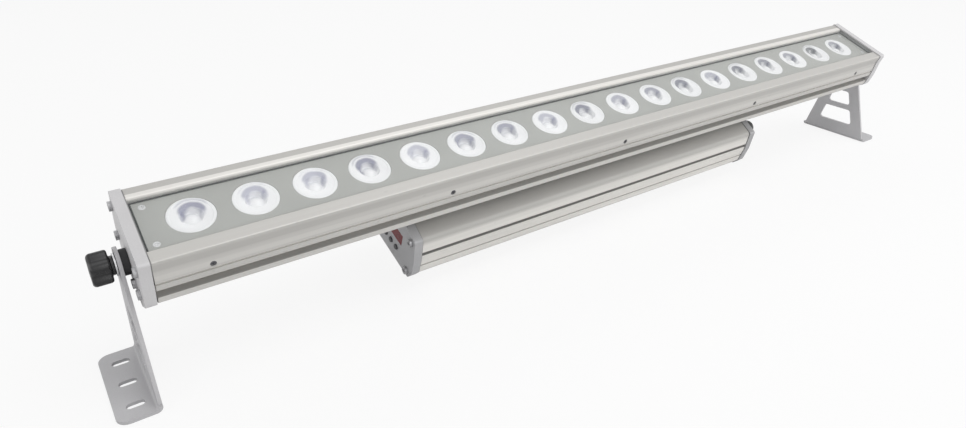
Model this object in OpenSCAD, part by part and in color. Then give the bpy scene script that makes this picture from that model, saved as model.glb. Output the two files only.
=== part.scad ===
// Wall washer light: a long extruded lamp with one row of lenses behind glass, a shorter driver
// box hung under it, and a clamp bracket with a knob at each end. Millimetres, +Z up, front is -Y.
// The lamp and its driver box are drawn level, with Z = 0 on top of the face plate, and are then
// tilted about the line through the two pivots. Each bracket stands on Z = 0 of the finished part.

/* [Stance] */
// Height of the pivots above the surface that the feet stand on
pivot_h = 116; // [110:1:140]
// Tilt of the lamp towards the front, in degrees
lamp_tilt = 21; // [10:1:30]
// Depth of the pivots below the top of the face plate
pivot_drop = 34; // [30:1:38]

/* [Lamp housing] */
// Length of the lamp over its two end caps
lamp_len = 1000; // [880:2:1200]
// Width over the tops of the two rims
rim_w = 84; // [82:0.5:87]
// Width over the bottom lips
lip_w = 89; // [88:0.5:96]
// Width of the window between the rims
window_w = 57; // [52:0.5:60]
// Height of the rims above the face plate
rim_h = 4.5; // [4:0.1:7]
// Depth of the upright fascia below the face plate
fascia_drop = 7; // [5:0.5:9]
// Depth of the top of the narrow groove below the face plate
narrow_drop = 18.5; // [18:0.25:20]
// Height of the narrow groove
narrow_h = 1.8; // [1:0.2:3]
// Depth of the narrow groove into the side
narrow_depth = 1.2; // [0.6:0.1:2]
// Depth of the top of the wide groove below the face plate
wide_drop = 26; // [24:0.5:27]
// Height of the wide groove
wide_h = 8.5; // [6:0.5:9]
// Depth of the wide groove into the side
wide_depth = 7; // [2:0.5:8]
// Depth of the lips' lower edge below the face plate
lip_drop = 41; // [40:0.5:46]
// Depth of the keel below the face plate
keel_drop = 58; // [54:1:60]
// Width of the flat under the keel
keel_w = 56; // [50:1:64]
// Thickness of the side walls beside the rims
side_wall = 3.6; // [3:0.1:4]
// Depth of the floor that carries the lamp tray, below the face plate
floor_drop = 24; // [23:0.5:26]
// Thickness of that floor
floor_t = 4; // [3:0.5:6]
// Thickness of the thin cooling fins
fin_t = 2; // [1:0.25:3]
// Spacing of the thin cooling fins about the middle
fin_pitch = 6.5; // [5:0.25:7.5]
// Distance of each screw rib from the middle
rib_y = 16; // [15:0.5:17]
// Thickness of each screw rib
rib_t = 8; // [7:0.5:9]
// Drop of the screw ports in the ribs below the floor
rib_port_drop = 16; // [15.5:0.25:16.5]
// Distance from the middle to the inside of the skirts
skirt_y = 29.5; // [29:0.25:30.5]

/* [End caps] */
// Thickness of each lamp end cap
cap_t = 9; // [8:0.5:12]
// How far the lamp caps stand proud of the housing all round
cap_over = 1.2; // [0.5:0.1:2]
// Thickness of a cap's outer skin
cap_skin = 4; // [3:0.5:5]
// Thickness of the gasket behind each end cap
gasket_t = 1; // [0.5:0.25:2]
// Radius of the shank of a cap screw
cap_screw_r = 2; // [1.5:0.1:2.4]
// Radius of the head of a cap screw
cap_head_r = 4.2; // [3.5:0.1:4.5]
// Height of the head of a cap screw
cap_head_h = 2.8; // [1.5:0.1:4]
// Length of the shank of a cap screw
cap_screw_len = 24; // [18:1:40]
// Wall round a cap screw
port_wall = 2; // [1.5:0.1:2.2]

/* [Face plate and glass] */
// Width of the face plate
plate_w = 73; // [70:0.5:75]
// Thickness of the face plate
plate_t = 2; // [1.5:0.1:3]
// Thickness of the front glass
glass_t = 3; // [2:0.5:4]
// Thickness of the sealing strip under the glass
seal_t = 0.5; // [0.3:0.1:1]
// Width of the sealing strip
seal_w = 1.5; // [1:0.25:3.5]
// Distance of the plate screws from the end of the plate
plate_screw_in = 9; // [7:0.5:12]
// Distance of the plate screws from the middle line
plate_screw_y = 21; // [12:0.5:23]
// Radius of the shank of a plate screw
plate_screw_r = 1.5; // [1:0.1:2]
// Radius of the head of a plate screw
plate_head_r = 2.9; // [2.4:0.1:3.5]
// Radius of a post under a plate screw
post_r = 4; // [3.5:0.25:5]

/* [Optics] */
// Spacing of the lenses
lens_pitch = 52.8; // [50:0.2:53]
// Least distance of the end lenses' middles from the end of the lamp
lens_end = 50; // [44:1:120]
// Radius of a lens
lens_r = 19.5; // [18:0.25:20.5]
// Thickness of the lens flange
lens_flange_t = 2.6; // [2:0.2:3]
// Width of the lens flange
lens_flange_w = 2; // [1.5:0.25:3]
// Radius of the small end of a lens
lens_foot_r = 7; // [6.5:0.25:9]
// Radius of the hollow over a light emitter
lens_well_r = 4.6; // [4:0.2:5]
// Depth of that hollow
lens_well_h = 6; // [4:0.5:8]
// Radius of the pocket in the top of a lens
lens_pocket_r = 7.5; // [5:0.5:10]
// Depth of the pocket in the top of a lens
lens_pocket_h = 3; // [1:0.5:4]
// Side of a light emitter
emitter_w = 8; // [6:0.5:9]
// Height of the base of a light emitter
emitter_h = 1.2; // [0.8:0.1:2]
// Radius of the dome of a light emitter
dome_r = 2.4; // [1.5:0.1:3]
// Thickness of a light board
board_t = 1.6; // [1:0.1:2]
// Width of a light board
board_w = 46; // [36:1:60]
// Number of light boards, each with the same number of lenses
board_n = 3; // [3:1:3]
// Thickness of the lamp tray
tray_t = 2.5; // [2:0.25:3]
// Depth of the tray's upper edge below the face plate
tray_edge_drop = 11; // [10.5:0.25:12]

/* [Side screws] */
// Number of screws along each side
side_screw_n = 5; // [3:1:9]
// Distance of the end side screws from the end of the lamp
side_screw_end = 54; // [52:1:120]
// Depth of the side screws below the face plate
side_screw_drop = 14.8; // [14.5:0.1:15.2]
// Radius of the shank of a side screw
side_screw_r = 1.5; // [1:0.1:1.6]
// Radius of the head of a side screw
side_head_r = 2.6; // [2:0.1:3]
// Height of the head of a side screw
side_head_h = 1.6; // [1:0.1:2]

/* [Brackets] */
// Thickness of the bracket sheet
sheet_t = 3; // [2:0.5:5]
// Gap from an end cap to its bracket, filled by the grip washer
bracket_gap = 6; // [4:0.5:10]
// Depth of the foot from front to back
foot_d = 100; // [98:1:130]
// Width of the foot along the lamp, with the upright sheet
foot_w = 35; // [28:1:50]
// Radius of the outer corners of the foot
foot_corner_r = 10; // [4:1:14]
// Outer radius of the bend between foot and upright
bend_r = 5.5; // [5:0.5:8]
// Radius of the rounded top of the bracket
bracket_top_r = 14; // [12:0.5:24]
// Half width of the upright where it meets the foot
bracket_root_y = 48; // [40:1:48]
// Distance of the slots' middle from the outside of the upright
slot_out = 15; // [13:0.5:20]
// Spacing of the three slots
slot_pitch = 32; // [24:1:34]
// Width of a slot
slot_w = 7; // [5:0.5:9]
// Length of a slot, end to end
slot_len = 15; // [11:0.5:18]
// Height of the lower edge of the lower window
lower_win_z = 21; // [16:1:24]
// Height of the upper edge of the lower window
lower_win_top = 43; // [38:1:44]
// Width of the sheet left beside the windows
win_margin = 16; // [9:0.5:17]
// Height of the cross bar between the windows
bar_h = 7; // [4:0.5:10]
// Height of the upper window
upper_win_h = 20; // [10:1:22]
// Radius of the windows' corners
win_corner_r = 4; // [2:0.5:5]

/* [Clamp] */
// Radius of the clamp stud
stud_r = 4; // [3:0.25:5]
// Running clearance of the stud in the bracket and in its insert
stud_fit = 0.05; // [0.02:0.01:0.1]
// Radius of the threaded insert
insert_r = 7; // [6.5:0.25:8]
// Radius of the grip washer
grip_r = 11; // [8:0.5:13]
// Radius of the steel washer
washer_r = 9.5; // [8:0.5:11]
// Thickness of the steel washer
washer_t = 1.5; // [1:0.1:2.5]
// Radius over the knob's lobes
knob_r = 15; // [13:0.5:20]
// Radius of one lobe
lobe_r = 4.2; // [3:0.2:5]
// Number of lobes
lobe_n = 6; // [5:1:8]
// Thickness of the knob's head
knob_t = 15; // [10:0.5:22]
// Radius of the knob's hub
hub_r = 8; // [7:0.5:10]
// Length of the knob's hub
hub_len = 3; // [2:0.5:8]

/* [Driver box] */
// Length of the driver box over its end caps
driver_len = 516; // [480:2:640]
// Gap between the keel of the lamp and the driver box
hanger_h = 5.5; // [4:0.5:10]
// Width of the flat top of the driver box
driver_top_w = 48; // [44:1:56]
// Width over the noses where the sloping top meets the sides
nose_w = 92; // [88:1:98]
// Drop of the noses below the flat top
nose_drop = 5.5; // [4:0.5:8]
// Greatest width of the driver box
driver_w = 100; // [99:1:108]
// Drop of the greatest width below the flat top
waist_drop = 30; // [26:1:34]
// Rounding of the noses
nose_r = 5; // [1:0.5:6]
// Drop of the upper groove along each side
side_groove_drop = 22; // [20:0.5:23]
// Height of the upper groove along each side
side_groove_h = 4; // [2:0.5:4.5]
// Depth of the upper groove along each side
side_groove_depth = 2.2; // [0.5:0.1:2.5]
// Drop of the shallow lower groove along each side
low_groove_drop = 38.5; // [36:0.5:42]
// Height of the lower groove
low_groove_h = 2.4; // [1.5:0.1:3]
// Depth of the lower groove
low_groove_depth = 1; // [0.5:0.1:1.5]
// Drop of the lower corners of the sides
lower_drop = 48.5; // [47:0.5:51]
// Height of the driver box
driver_h = 57.5; // [56:0.5:64]
// Width of the flat underside
driver_base_w = 90; // [84:1:98]
// Wall of the driver box
driver_wall = 2.6; // [2:0.1:3]
// Thickness of each driver end cap
driver_cap_t = 9; // [8:0.5:12]
// How far the driver caps stand proud all round
driver_cap_over = 1; // [0.5:0.1:2]
// Thickness of the outer skin of a driver cap
driver_cap_skin = 3.5; // [3:0.25:4]
// Distance of each hanger from the middle of the lamp
hanger_x = 200; // [195:5:220]
// Length of each hanger along the lamp
hanger_len = 36; // [26:1:50]
// Width of each hanger
hanger_w = 46; // [42:1:48]
// Radius of the shank of a hanger screw
hanger_screw_r = 2.5; // [2:0.1:3]
// Length of a hanger screw's shank
hanger_screw_len = 17; // [14:0.5:18]

/* [Driver fittings] */
// Width of the display window
display_w = 24; // [18:1:28]
// Height of the display window
display_h = 12; // [8:0.5:13]
// Distance of the display from the middle line, towards the front
display_y = 12; // [8:0.5:13]
// Drop of the display's middle below the flat top
display_drop = 25; // [22:0.5:27]
// Drop of the buttons below the flat top
button_drop = 42; // [40:0.5:45]
// Spacing of the buttons
button_pitch = 11; // [9:0.5:12]
// Radius of a button
button_r = 3; // [2.5:0.1:3.5]
// How far a button stands out
button_out = 1.4; // [1:0.1:2]
// Travel of a button
button_travel = 0.8; // [0.5:0.1:1.2]
// Distance of the cable glands from the middle line
gland_y = 25; // [22:0.5:26]
// Drop of the power glands below the flat top
power_gland_drop = 19; // [18:0.5:20]
// Drop of the data glands below the flat top
data_gland_drop = 44; // [43.5:0.5:44.5]
// Radius of the thread of a power gland
power_thread_r = 9.5; // [8:0.25:10]
// Radius of the thread of a data gland
data_thread_r = 7.5; // [6:0.25:8.5]
// Distance of the link conduit from the middle of the lamp
conduit_x = 158.4; // [150:0.2:159]
// Radius of the link conduit
conduit_r = 8; // [7:0.25:9]
// Radius of the bore of the link conduit
conduit_bore_r = 5; // [4:0.25:5.5]

/* [Hidden] */
$fn = 48;
eps = 0.01;
// clearance between pieces that are screwed or bonded together
fit_gap = 0.15;
// clearance beside a moving piece
move_gap = 0.3;

// Places along the lamp, all measured from its middle.
cap_face_x = lamp_len / 2;
cap_back_x = cap_face_x - cap_t;
housing_end_x = cap_back_x - gasket_t;
inside_end_x = housing_end_x - fit_gap;
driver_face_x = driver_len / 2;
driver_cap_back_x = driver_face_x - driver_cap_t;
driver_end_x = driver_cap_back_x - gasket_t;

// Levels of the level lamp, with 0 on top of the face plate.
rim_under_z = fit_gap;
tray_top_z = -floor_drop + tray_t;
board_top_z = tray_top_z + board_t;
lens_foot_z = board_top_z + emitter_h + move_gap;
driver_top_z = -keel_drop - hanger_h;
driver_floor_z = driver_top_z - driver_h + driver_wall;
display_z = driver_top_z - display_drop;
button_z = driver_top_z - button_drop;

// Sizes that follow from the driving ones.
cavity_y = rim_w / 2 - side_wall;
cap_pocket_in = 10;
pocket_y = cavity_y - cap_pocket_in;
ledge_w = 3.5;
ledge_y = plate_w / 2 - ledge_w;
ledge_t = 3;
slope_w = (lip_w - rim_w) / 2;
port_r = cap_screw_r + port_wall;
port_bore_r = cap_screw_r + 0.05;
plate_len = 2 * inside_end_x;
glass_len = plate_len - 2 * move_gap;
glass_w = window_w - 2 * move_gap;
hole_r = lens_r + 0.2;
holder_r = lens_r - 0.4;
lens_room = lamp_len - 2 * lens_end + lens_pitch;
lenses_a_board = floor(lens_room / lens_pitch / board_n);
lens_n = board_n * lenses_a_board;
board_len = lens_pitch * lenses_a_board;
side_screw_pitch = (lamp_len - 2 * side_screw_end) / (side_screw_n - 1);
post_x = inside_end_x - plate_screw_in;
display_pane_t = 1.5;
display_lip = 1;
display_board_t = 1.6;
bracket_x = cap_face_x + bracket_gap;
foot_out_x = bracket_x + foot_w;
slot_x = bracket_x + sheet_t + slot_out;
knob_hub_x = bracket_x + sheet_t + move_gap + washer_t;
knob_head_x = knob_hub_x + hub_len;
stud_out_x = knob_head_x + knob_t * 0.6;
insert_skin = 2;
insert_len = cap_t - insert_skin;
stud_in_x = cap_face_x - insert_len;

// The end cap screws of the lamp and of the driver box, as places in the section. Where a screw
// has a boss of its own, the boss sinks a little into the wall beside it.
upper_port_in = 1.5;
upper_port_drop = 6.5;
port_sink = 0.8;
lamp_ports = [
    [cavity_y - upper_port_in, -upper_port_drop],
    [(skirt_y + lip_w / 2 - wide_depth) / 2, -wide_drop - wide_h - port_r + port_sink],
    [rib_y, -floor_drop - floor_t - rib_port_drop]
];
driver_ports = [
    [nose_w / 2 - driver_wall - port_r + port_sink,
        driver_top_z - nose_drop - driver_wall - port_r + port_sink],
    [driver_base_w / 2 - port_r, driver_floor_z + port_r - port_sink]
];

function unit(v) = v / norm(v);

// The points of one rounded corner at b, between the points a and c.
function corner_arc(a, b, c, r, steps) =
    let (
        to_a = unit(a - b),
        to_c = unit(c - b),
        half = acos(to_a * to_c) / 2,
        middle = b + unit(to_a + to_c) * r / sin(half),
        from = b + to_a * r / tan(half) - middle,
        last = b + to_c * r / tan(half) - middle,
        start = atan2(from.y, from.x),
        turn = atan2(last.y, last.x) - start,
        sweep = turn > 180 ? turn - 360 : turn < -180 ? turn + 360 : turn
    )
    [for (k = [0:steps]) middle + r * [cos(start + sweep * k / steps), sin(start + sweep * k / steps)]];

// An outline of points [y, z, radius] with each corner rounded by its own radius.
function rounded(points, steps = 5) =
    let (n = len(points), flat = [for (p = points) [p.x, p.y]])
    [for (i = [0:n - 1]) each
        points[i].z > 0
            ? corner_arc(flat[(i + n - 1) % n], flat[i], flat[(i + 1) % n], points[i].z, steps)
            : [flat[i]]];

// A whole outline from the half on the positive side, listed from top to bottom.
function both_sides(half) =
    concat(half, [for (i = [len(half) - 1:-1:0]) [-half[i].x, half[i].y, half[i].z]]);

// Half of the outside of the lamp housing, with its grooves.
lamp_outline = [
    [rim_w / 2, rim_h, 1.2],
    [rim_w / 2, -fascia_drop, 0],
    [rim_w / 2 + slope_w * 0.7, -narrow_drop, 0],
    [rim_w / 2 + slope_w * 0.7 - narrow_depth, -narrow_drop, 0],
    [rim_w / 2 + slope_w * 0.7 - narrow_depth, -narrow_drop - narrow_h, 0],
    [rim_w / 2 + slope_w * 0.8, -narrow_drop - narrow_h, 0],
    [lip_w / 2, -wide_drop, 0],
    [lip_w / 2 - wide_depth, -wide_drop, 0],
    [lip_w / 2 - wide_depth, -wide_drop - wide_h, 0],
    [lip_w / 2, -wide_drop - wide_h, 0],
    [lip_w / 2, -lip_drop, 2],
    [keel_w / 2, -keel_drop, 2]
];

// Half of the outside of a lamp end cap.
cap_outline = [
    [rim_w / 2 + cap_over, rim_h + cap_over, 2.5],
    [rim_w / 2 + cap_over, -fascia_drop, 0],
    [lip_w / 2 + cap_over, -wide_drop, 0],
    [lip_w / 2 + cap_over, -lip_drop - cap_over / 2, 9],
    [keel_w / 2 + cap_over / 2, -keel_drop - cap_over, 6]
];

// Half of the plain section that the gaskets follow, a little inside the housing.
gasket_in = 0.4;
gasket_outline = [
    [rim_w / 2 - gasket_in, rim_h - gasket_in, 0],
    [rim_w / 2 - gasket_in, -narrow_drop, 0],
    [lip_w / 2 - wide_depth - gasket_in, -wide_drop, 0],
    [lip_w / 2 - wide_depth - gasket_in, -lip_drop - gasket_in, 0],
    [keel_w / 2 - gasket_in, -keel_drop + gasket_in, 0]
];

// Half width of the driver box at a drop between its noses and its greatest width.
function side_y(drop) =
    nose_w / 2 + (driver_w - nose_w) / 2 * (drop - nose_drop) / (waist_drop - nose_drop);

side_groove_end = side_groove_drop + side_groove_h;

// Half of the outside of the driver box, with its grooves.
driver_outline = [
    [driver_top_w / 2, driver_top_z, 0],
    [nose_w / 2, driver_top_z - nose_drop, nose_r],
    [side_y(side_groove_drop), driver_top_z - side_groove_drop, 0],
    [side_y(side_groove_drop) - side_groove_depth, driver_top_z - side_groove_drop, 0],
    [side_y(side_groove_drop) - side_groove_depth, driver_top_z - side_groove_end, 0],
    [side_y(side_groove_end), driver_top_z - side_groove_end, 0],
    [driver_w / 2, driver_top_z - waist_drop, 0],
    [driver_w / 2, driver_top_z - low_groove_drop, 0],
    [driver_w / 2 - low_groove_depth, driver_top_z - low_groove_drop, 0],
    [driver_w / 2 - low_groove_depth, driver_top_z - low_groove_drop - low_groove_h, 0],
    [driver_w / 2, driver_top_z - low_groove_drop - low_groove_h, 0],
    [driver_w / 2, driver_top_z - lower_drop, 1.5],
    [driver_base_w / 2, driver_top_z - driver_h, 1.5]
];

// Half of the inside of the driver box.
driver_inside = [
    [driver_top_w / 2, driver_top_z - driver_wall, 0],
    [nose_w / 2 - driver_wall, driver_top_z - nose_drop - driver_wall, 0],
    [driver_w / 2 - side_groove_depth - driver_wall, driver_top_z - waist_drop, 0],
    [driver_w / 2 - side_groove_depth - driver_wall, driver_top_z - lower_drop, 0],
    [driver_base_w / 2 - driver_wall, driver_floor_z, 0]
];

// Half of the outside of a driver end cap, and of the pocket behind its skin.
driver_cap_outline = [
    [driver_top_w / 2, driver_top_z + driver_cap_over, 3],
    [nose_w / 2 + driver_cap_over, driver_top_z - nose_drop + driver_cap_over / 2, 3],
    [driver_w / 2 + driver_cap_over, driver_top_z - waist_drop, 0],
    [driver_w / 2 + driver_cap_over, driver_top_z - lower_drop, 3],
    [driver_base_w / 2 + driver_cap_over / 2, driver_top_z - driver_h - driver_cap_over, 3]
];

module along_x(from, to) {
    translate([from, 0, 0])
    rotate([90, 0, 90])
    linear_extrude(to - from)
    children();
}

// A round bar along X from one place to another.
module bar_x(from, to, r) {
    translate([from, 0, 0])
    rotate([0, 90, 0])
    cylinder(h = to - from, r = r);
}

// The children and their mirror image, at both ends or on both sides.
module each_end() {
    children();
    mirror([1, 0, 0]) children();
}

module each_side() {
    children();
    mirror([0, 1, 0]) children();
}

// Tilts the level lamp and lifts it so that its pivot line stands at the pivots' height.
module tilted() {
    translate([0, 0, pivot_h])
    rotate([lamp_tilt, 0, 0])
    translate([0, 0, pivot_drop])
    children();
}

module box(from, to) {
    translate(from) cube(to - from);
}

// Lamp

// The open channels between the cooling fins, as pairs of distances from the middle.
fin_channels = [
    [fin_t / 2, fin_pitch - fin_t / 2],
    [fin_pitch + fin_t / 2, rib_y - rib_t / 2],
    [rib_y + rib_t / 2, (rib_y + rib_t / 2 + skirt_y - fin_t) / 2],
    [(rib_y + rib_t / 2 + skirt_y + fin_t) / 2, skirt_y]
];

module lamp_section() {
    difference() {
        polygon(rounded(both_sides(lamp_outline)));
        // window between the rims
        translate([-window_w / 2, 0]) square([window_w, rim_h + 1]);
        // slot for the face plate
        translate([-plate_w / 2 - fit_gap, -plate_t])
            square([plate_w + 2 * fit_gap, plate_t + rim_under_z]);
        // throat between the ledges
        translate([-ledge_y, -plate_t - ledge_t - eps]) square([2 * ledge_y, ledge_t + 2 * eps]);
        // chamber for the lamp tray
        translate([-cavity_y, -floor_drop]) square([2 * cavity_y, floor_drop - plate_t - ledge_t]);
        for (c = fin_channels)
            for (s = [-1, 1])
                translate([s * (c[0] + c[1]) / 2 - (c[1] - c[0]) / 2, -keel_drop - 1])
                    square([c[1] - c[0], keel_drop + 1 - floor_drop - floor_t]);
    }
}

module port_bosses(ports, from, to, r) {
    for (p = ports)
        each_side() translate([0, p.x, p.y]) bar_x(from, to, r);
}

module side_screw_places() {
    for (i = [0:side_screw_n - 1])
        each_side()
        translate([(i - (side_screw_n - 1) / 2) * side_screw_pitch, -side_face_y, -side_screw_drop])
        rotate([-90, 0, 0])
        children();
}

// Distance of the side screws' heads from the middle, just inside the sloping face.
side_face_y = rim_w / 2
    + slope_w * 0.7 * (side_screw_drop - side_head_r - fascia_drop) / (narrow_drop - fascia_drop);

module hanger_screw_places() {
    for (sx = [-1, 1], sy = [-1, 1])
        translate([sx * hanger_x, sy * rib_y, 0])
        children();
}

module lamp_housing() {
    color("silver")
    tilted()
    difference() {
        union() {
            along_x(-housing_end_x, housing_end_x) lamp_section();
            port_bosses([lamp_ports[0]], -housing_end_x, housing_end_x, port_r);
        }
        port_bosses(lamp_ports, -housing_end_x - 1, housing_end_x + 1, port_bore_r);
        side_screw_places() {
            translate([0, 0, -2]) cylinder(h = 2 + side_head_h, r = side_head_r + 0.1);
            cylinder(h = side_face_y - cavity_y + 1, r = side_screw_r + 0.1);
        }
        hanger_screw_places()
            translate([0, 0, -keel_drop - 1])
            cylinder(h = hanger_screw_len - hanger_h - driver_wall + 2, r = hanger_screw_r + 0.05);
        // room in the fins and a hole in the floor for the link conduit
        box([conduit_x - conduit_flange_r - 1, -rib_y + rib_t / 2, -keel_drop - 1],
            [conduit_x + conduit_flange_r + 1, rib_y - rib_t / 2, -floor_drop - floor_t]);
        translate([conduit_x, 0, -floor_drop - floor_t - 1])
            cylinder(h = floor_t + 2, r = conduit_r + fit_gap);
    }
}

insert_wall = 4;

// A lamp end cap at the left end, with a pocket behind its skin and a boss for the insert.
module lamp_cap() {
    color("darkgray")
    tilted()
    difference() {
        along_x(-cap_face_x, -cap_back_x) polygon(rounded(both_sides(cap_outline)));
        difference() {
            box([-cap_face_x + cap_skin, -pocket_y, -pivot_drop],
                [-cap_back_x + 1, pocket_y, -plate_t - ledge_t]);
            translate([0, 0, -pivot_drop]) bar_x(-cap_face_x, -cap_back_x + 1, insert_r + insert_wall);
        }
        port_bosses(lamp_ports, -cap_face_x - 1, -cap_back_x + 1, cap_screw_r + 0.2);
        translate([0, 0, -pivot_drop]) bar_x(-cap_face_x - 1, -cap_back_x + 1, insert_r + 0.02);
    }
}

module lamp_cap_left() {
    lamp_cap();
}

module lamp_cap_right() {
    mirror([1, 0, 0]) lamp_cap();
}

module cap_gasket() {
    color("dimgray")
    tilted()
    difference() {
        along_x(-cap_back_x, -housing_end_x) polygon(rounded(both_sides(gasket_outline)));
        port_bosses(lamp_ports, -cap_back_x - 1, -housing_end_x + 1, cap_screw_r + 0.2);
    }
}

module cap_gasket_left() {
    cap_gasket();
}

module cap_gasket_right() {
    mirror([1, 0, 0]) cap_gasket();
}

// A pan head screw along X, its head's underside at X = 0 and its shank towards +X.
module pan_screw(head_r, head_h, shank_r, shank_len) {
    difference() {
        union() {
            bar_x(-head_h, 0, head_r);
            bar_x(-eps, shank_len, shank_r);
        }
        // cross recess
        for (a = [0, 90])
            rotate([a, 0, 0])
            box([-head_h - 1, -head_r * 0.55, -head_r * 0.12], [-head_h * 0.45, head_r * 0.55, head_r * 0.12]);
    }
}

module cap_screws() {
    color("gainsboro")
    tilted()
    for (p = lamp_ports)
        each_side()
        translate([-cap_face_x, p.x, p.y])
        pan_screw(cap_head_r, cap_head_h, cap_screw_r, cap_screw_len);
}

module cap_screws_left() {
    cap_screws();
}

module cap_screws_right() {
    mirror([1, 0, 0]) cap_screws();
}

module lens_places() {
    for (i = [0:lens_n - 1])
        translate([(i - (lens_n - 1) / 2) * lens_pitch, 0, 0])
        children();
}

module post_places() {
    for (sx = [-1, 1], sy = [-1, 1])
        translate([sx * post_x, sy * plate_screw_y, 0])
        children();
}

plate_head_h = plate_t * 0.6;
plate_screw_bite = 8;

module face_plate() {
    color("gray")
    tilted()
    difference() {
        box([-plate_len / 2, -plate_w / 2, -plate_t], [plate_len / 2, plate_w / 2, 0]);
        lens_places() translate([0, 0, -plate_t - 1]) cylinder(h = plate_t + 2, r = hole_r);
        post_places() {
            translate([0, 0, -plate_t - 1]) cylinder(h = plate_t + 2, r = plate_screw_r + 0.1);
            translate([0, 0, -plate_head_h]) cylinder(h = plate_head_h + 1, r = plate_head_r + 0.1);
        }
    }
}

module face_plate_screws() {
    color("dimgray")
    tilted()
    post_places()
    difference() {
        union() {
            translate([0, 0, -plate_head_h]) cylinder(h = plate_head_h, r = plate_head_r);
            translate([0, 0, -plate_t - plate_screw_bite])
                cylinder(h = plate_t + plate_screw_bite - plate_head_h + eps, r = plate_screw_r);
        }
        for (a = [0, 90])
            rotate([0, 0, a])
            box([-plate_head_r * 0.6, -0.4, -plate_head_h * 0.6], [plate_head_r * 0.6, 0.4, 1]);
    }
}

module plate_posts() {
    color("silver")
    tilted()
    post_places()
    difference() {
        translate([0, 0, tray_top_z]) cylinder(h = -plate_t - tray_top_z, r = post_r);
        translate([0, 0, -plate_t - plate_screw_bite - 1])
            cylinder(h = plate_screw_bite + 2, r = plate_screw_r + 0.05);
    }
}

module front_glass() {
    color([0.75, 0.85, 0.9, 0.35])
    tilted()
    box([-glass_len / 2, -glass_w / 2, seal_t], [glass_len / 2, glass_w / 2, seal_t + glass_t]);
}

module glass_seal() {
    color("black")
    tilted()
    difference() {
        box([-glass_len / 2, -glass_w / 2, 0], [glass_len / 2, glass_w / 2, seal_t]);
        box([-glass_len / 2 + seal_w, -glass_w / 2 + seal_w, -1],
            [glass_len / 2 - seal_w, glass_w / 2 - seal_w, seal_t + 1]);
    }
}

// Lens section: flat top with a round pocket, flange, cone and the hollow over the emitter.
lens_waist_r = lens_r - lens_flange_w;
lens_neck_in = 1.5;
lens_neck_h = 4;
lens_foot_slope = 5;

module lens() {
    rotate_extrude()
    polygon([
        [0, -lens_pocket_h],
        [lens_pocket_r * 0.6, -lens_pocket_h],
        [lens_pocket_r, 0],
        [lens_r, 0],
        [lens_r, -lens_flange_t],
        [lens_waist_r, -lens_flange_t],
        [lens_waist_r - lens_neck_in, -lens_flange_t - lens_neck_h],
        [lens_foot_r + lens_foot_slope, lens_foot_z + lens_foot_slope],
        [lens_foot_r, lens_foot_z],
        [lens_well_r, lens_foot_z],
        [lens_well_r, lens_foot_z + lens_well_h * 0.7],
        [lens_well_r * 0.5, lens_foot_z + lens_well_h * 0.93],
        [0, lens_foot_z + lens_well_h]
    ]);
}

module lenses() {
    color("white")
    tilted()
    lens_places() lens();
}

// Lens holder: a white cup that the lens flange rests on, clear of the cone by a small gap.
module lens_holder() {
    gap = move_gap;
    rotate_extrude()
    polygon([
        [holder_r, -lens_flange_t],
        [lens_waist_r + gap, -lens_flange_t],
        [lens_waist_r - lens_neck_in + gap, -lens_flange_t - lens_neck_h],
        [lens_foot_r + lens_foot_slope + gap, lens_foot_z + lens_foot_slope - gap],
        [lens_foot_r + gap, lens_foot_z - gap],
        [lens_foot_r + gap, board_top_z],
        [holder_r, board_top_z]
    ]);
}

module lens_holders() {
    color("whitesmoke")
    tilted()
    lens_places() lens_holder();
}

dome_h = 1.9;

module led_emitters() {
    color("khaki")
    tilted()
    lens_places()
    translate([0, 0, board_top_z])
    union() {
        box([-emitter_w / 2, -emitter_w / 2, 0], [emitter_w / 2, emitter_w / 2, emitter_h]);
        translate([0, 0, emitter_h - eps]) cylinder(h = dome_h, r1 = dome_r, r2 = dome_r * 0.6);
    }
}

// One light board; its ends have half round notches for the wiring.
module led_board(k) {
    x = (k - (board_n - 1) / 2) * board_len;
    color("ivory")
    tilted()
    difference() {
        box([x - board_len / 2 + move_gap, -board_w / 2, tray_top_z],
            [x + board_len / 2 - move_gap, board_w / 2, board_top_z]);
        for (s = [-1, 1])
            translate([x + s * board_len / 2, 0, tray_top_z - 1])
                cylinder(h = board_t + 2, r = conduit_bore_r);
    }
}

module led_board_left() {
    led_board(0);
}

module led_board_middle() {
    led_board(1);
}

module led_board_right() {
    led_board(2);
}

// A folded tray on the floor of the housing; its flanges take the side screws.
module led_tray() {
    y = cavity_y - fit_gap;
    color("lightgray")
    tilted()
    difference() {
        union() {
            box([-inside_end_x, -y, -floor_drop], [inside_end_x, y, tray_top_z]);
            each_side()
                box([-inside_end_x, y - tray_t, -floor_drop], [inside_end_x, y, -tray_edge_drop]);
        }
        side_screw_places() cylinder(h = side_face_y - y + tray_t + 1, r = side_screw_r + 0.05);
        translate([conduit_x, 0, -floor_drop - 1]) cylinder(h = tray_t + 2, r = conduit_bore_r);
    }
}

module side_screws() {
    color("dimgray")
    tilted()
    side_screw_places()
    difference() {
        union() {
            cylinder(h = side_head_h, r = side_head_r);
            cylinder(h = side_face_y - cavity_y + fit_gap + tray_t, r = side_screw_r);
        }
        for (a = [0, 90])
            rotate([0, 0, a])
            box([-side_head_r * 0.6, -0.35, -1], [side_head_r * 0.6, 0.35, side_head_h * 0.5]);
    }
}

// Clamp between an end cap and its bracket

module pivot_insert() {
    color("goldenrod")
    tilted()
    translate([0, 0, -pivot_drop])
    difference() {
        bar_x(-cap_face_x, -stud_in_x, insert_r);
        bar_x(-cap_face_x - 1, -stud_in_x + 1, stud_r + stud_fit);
    }
}

module pivot_insert_left() {
    pivot_insert();
}

module pivot_insert_right() {
    mirror([1, 0, 0]) pivot_insert();
}

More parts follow.
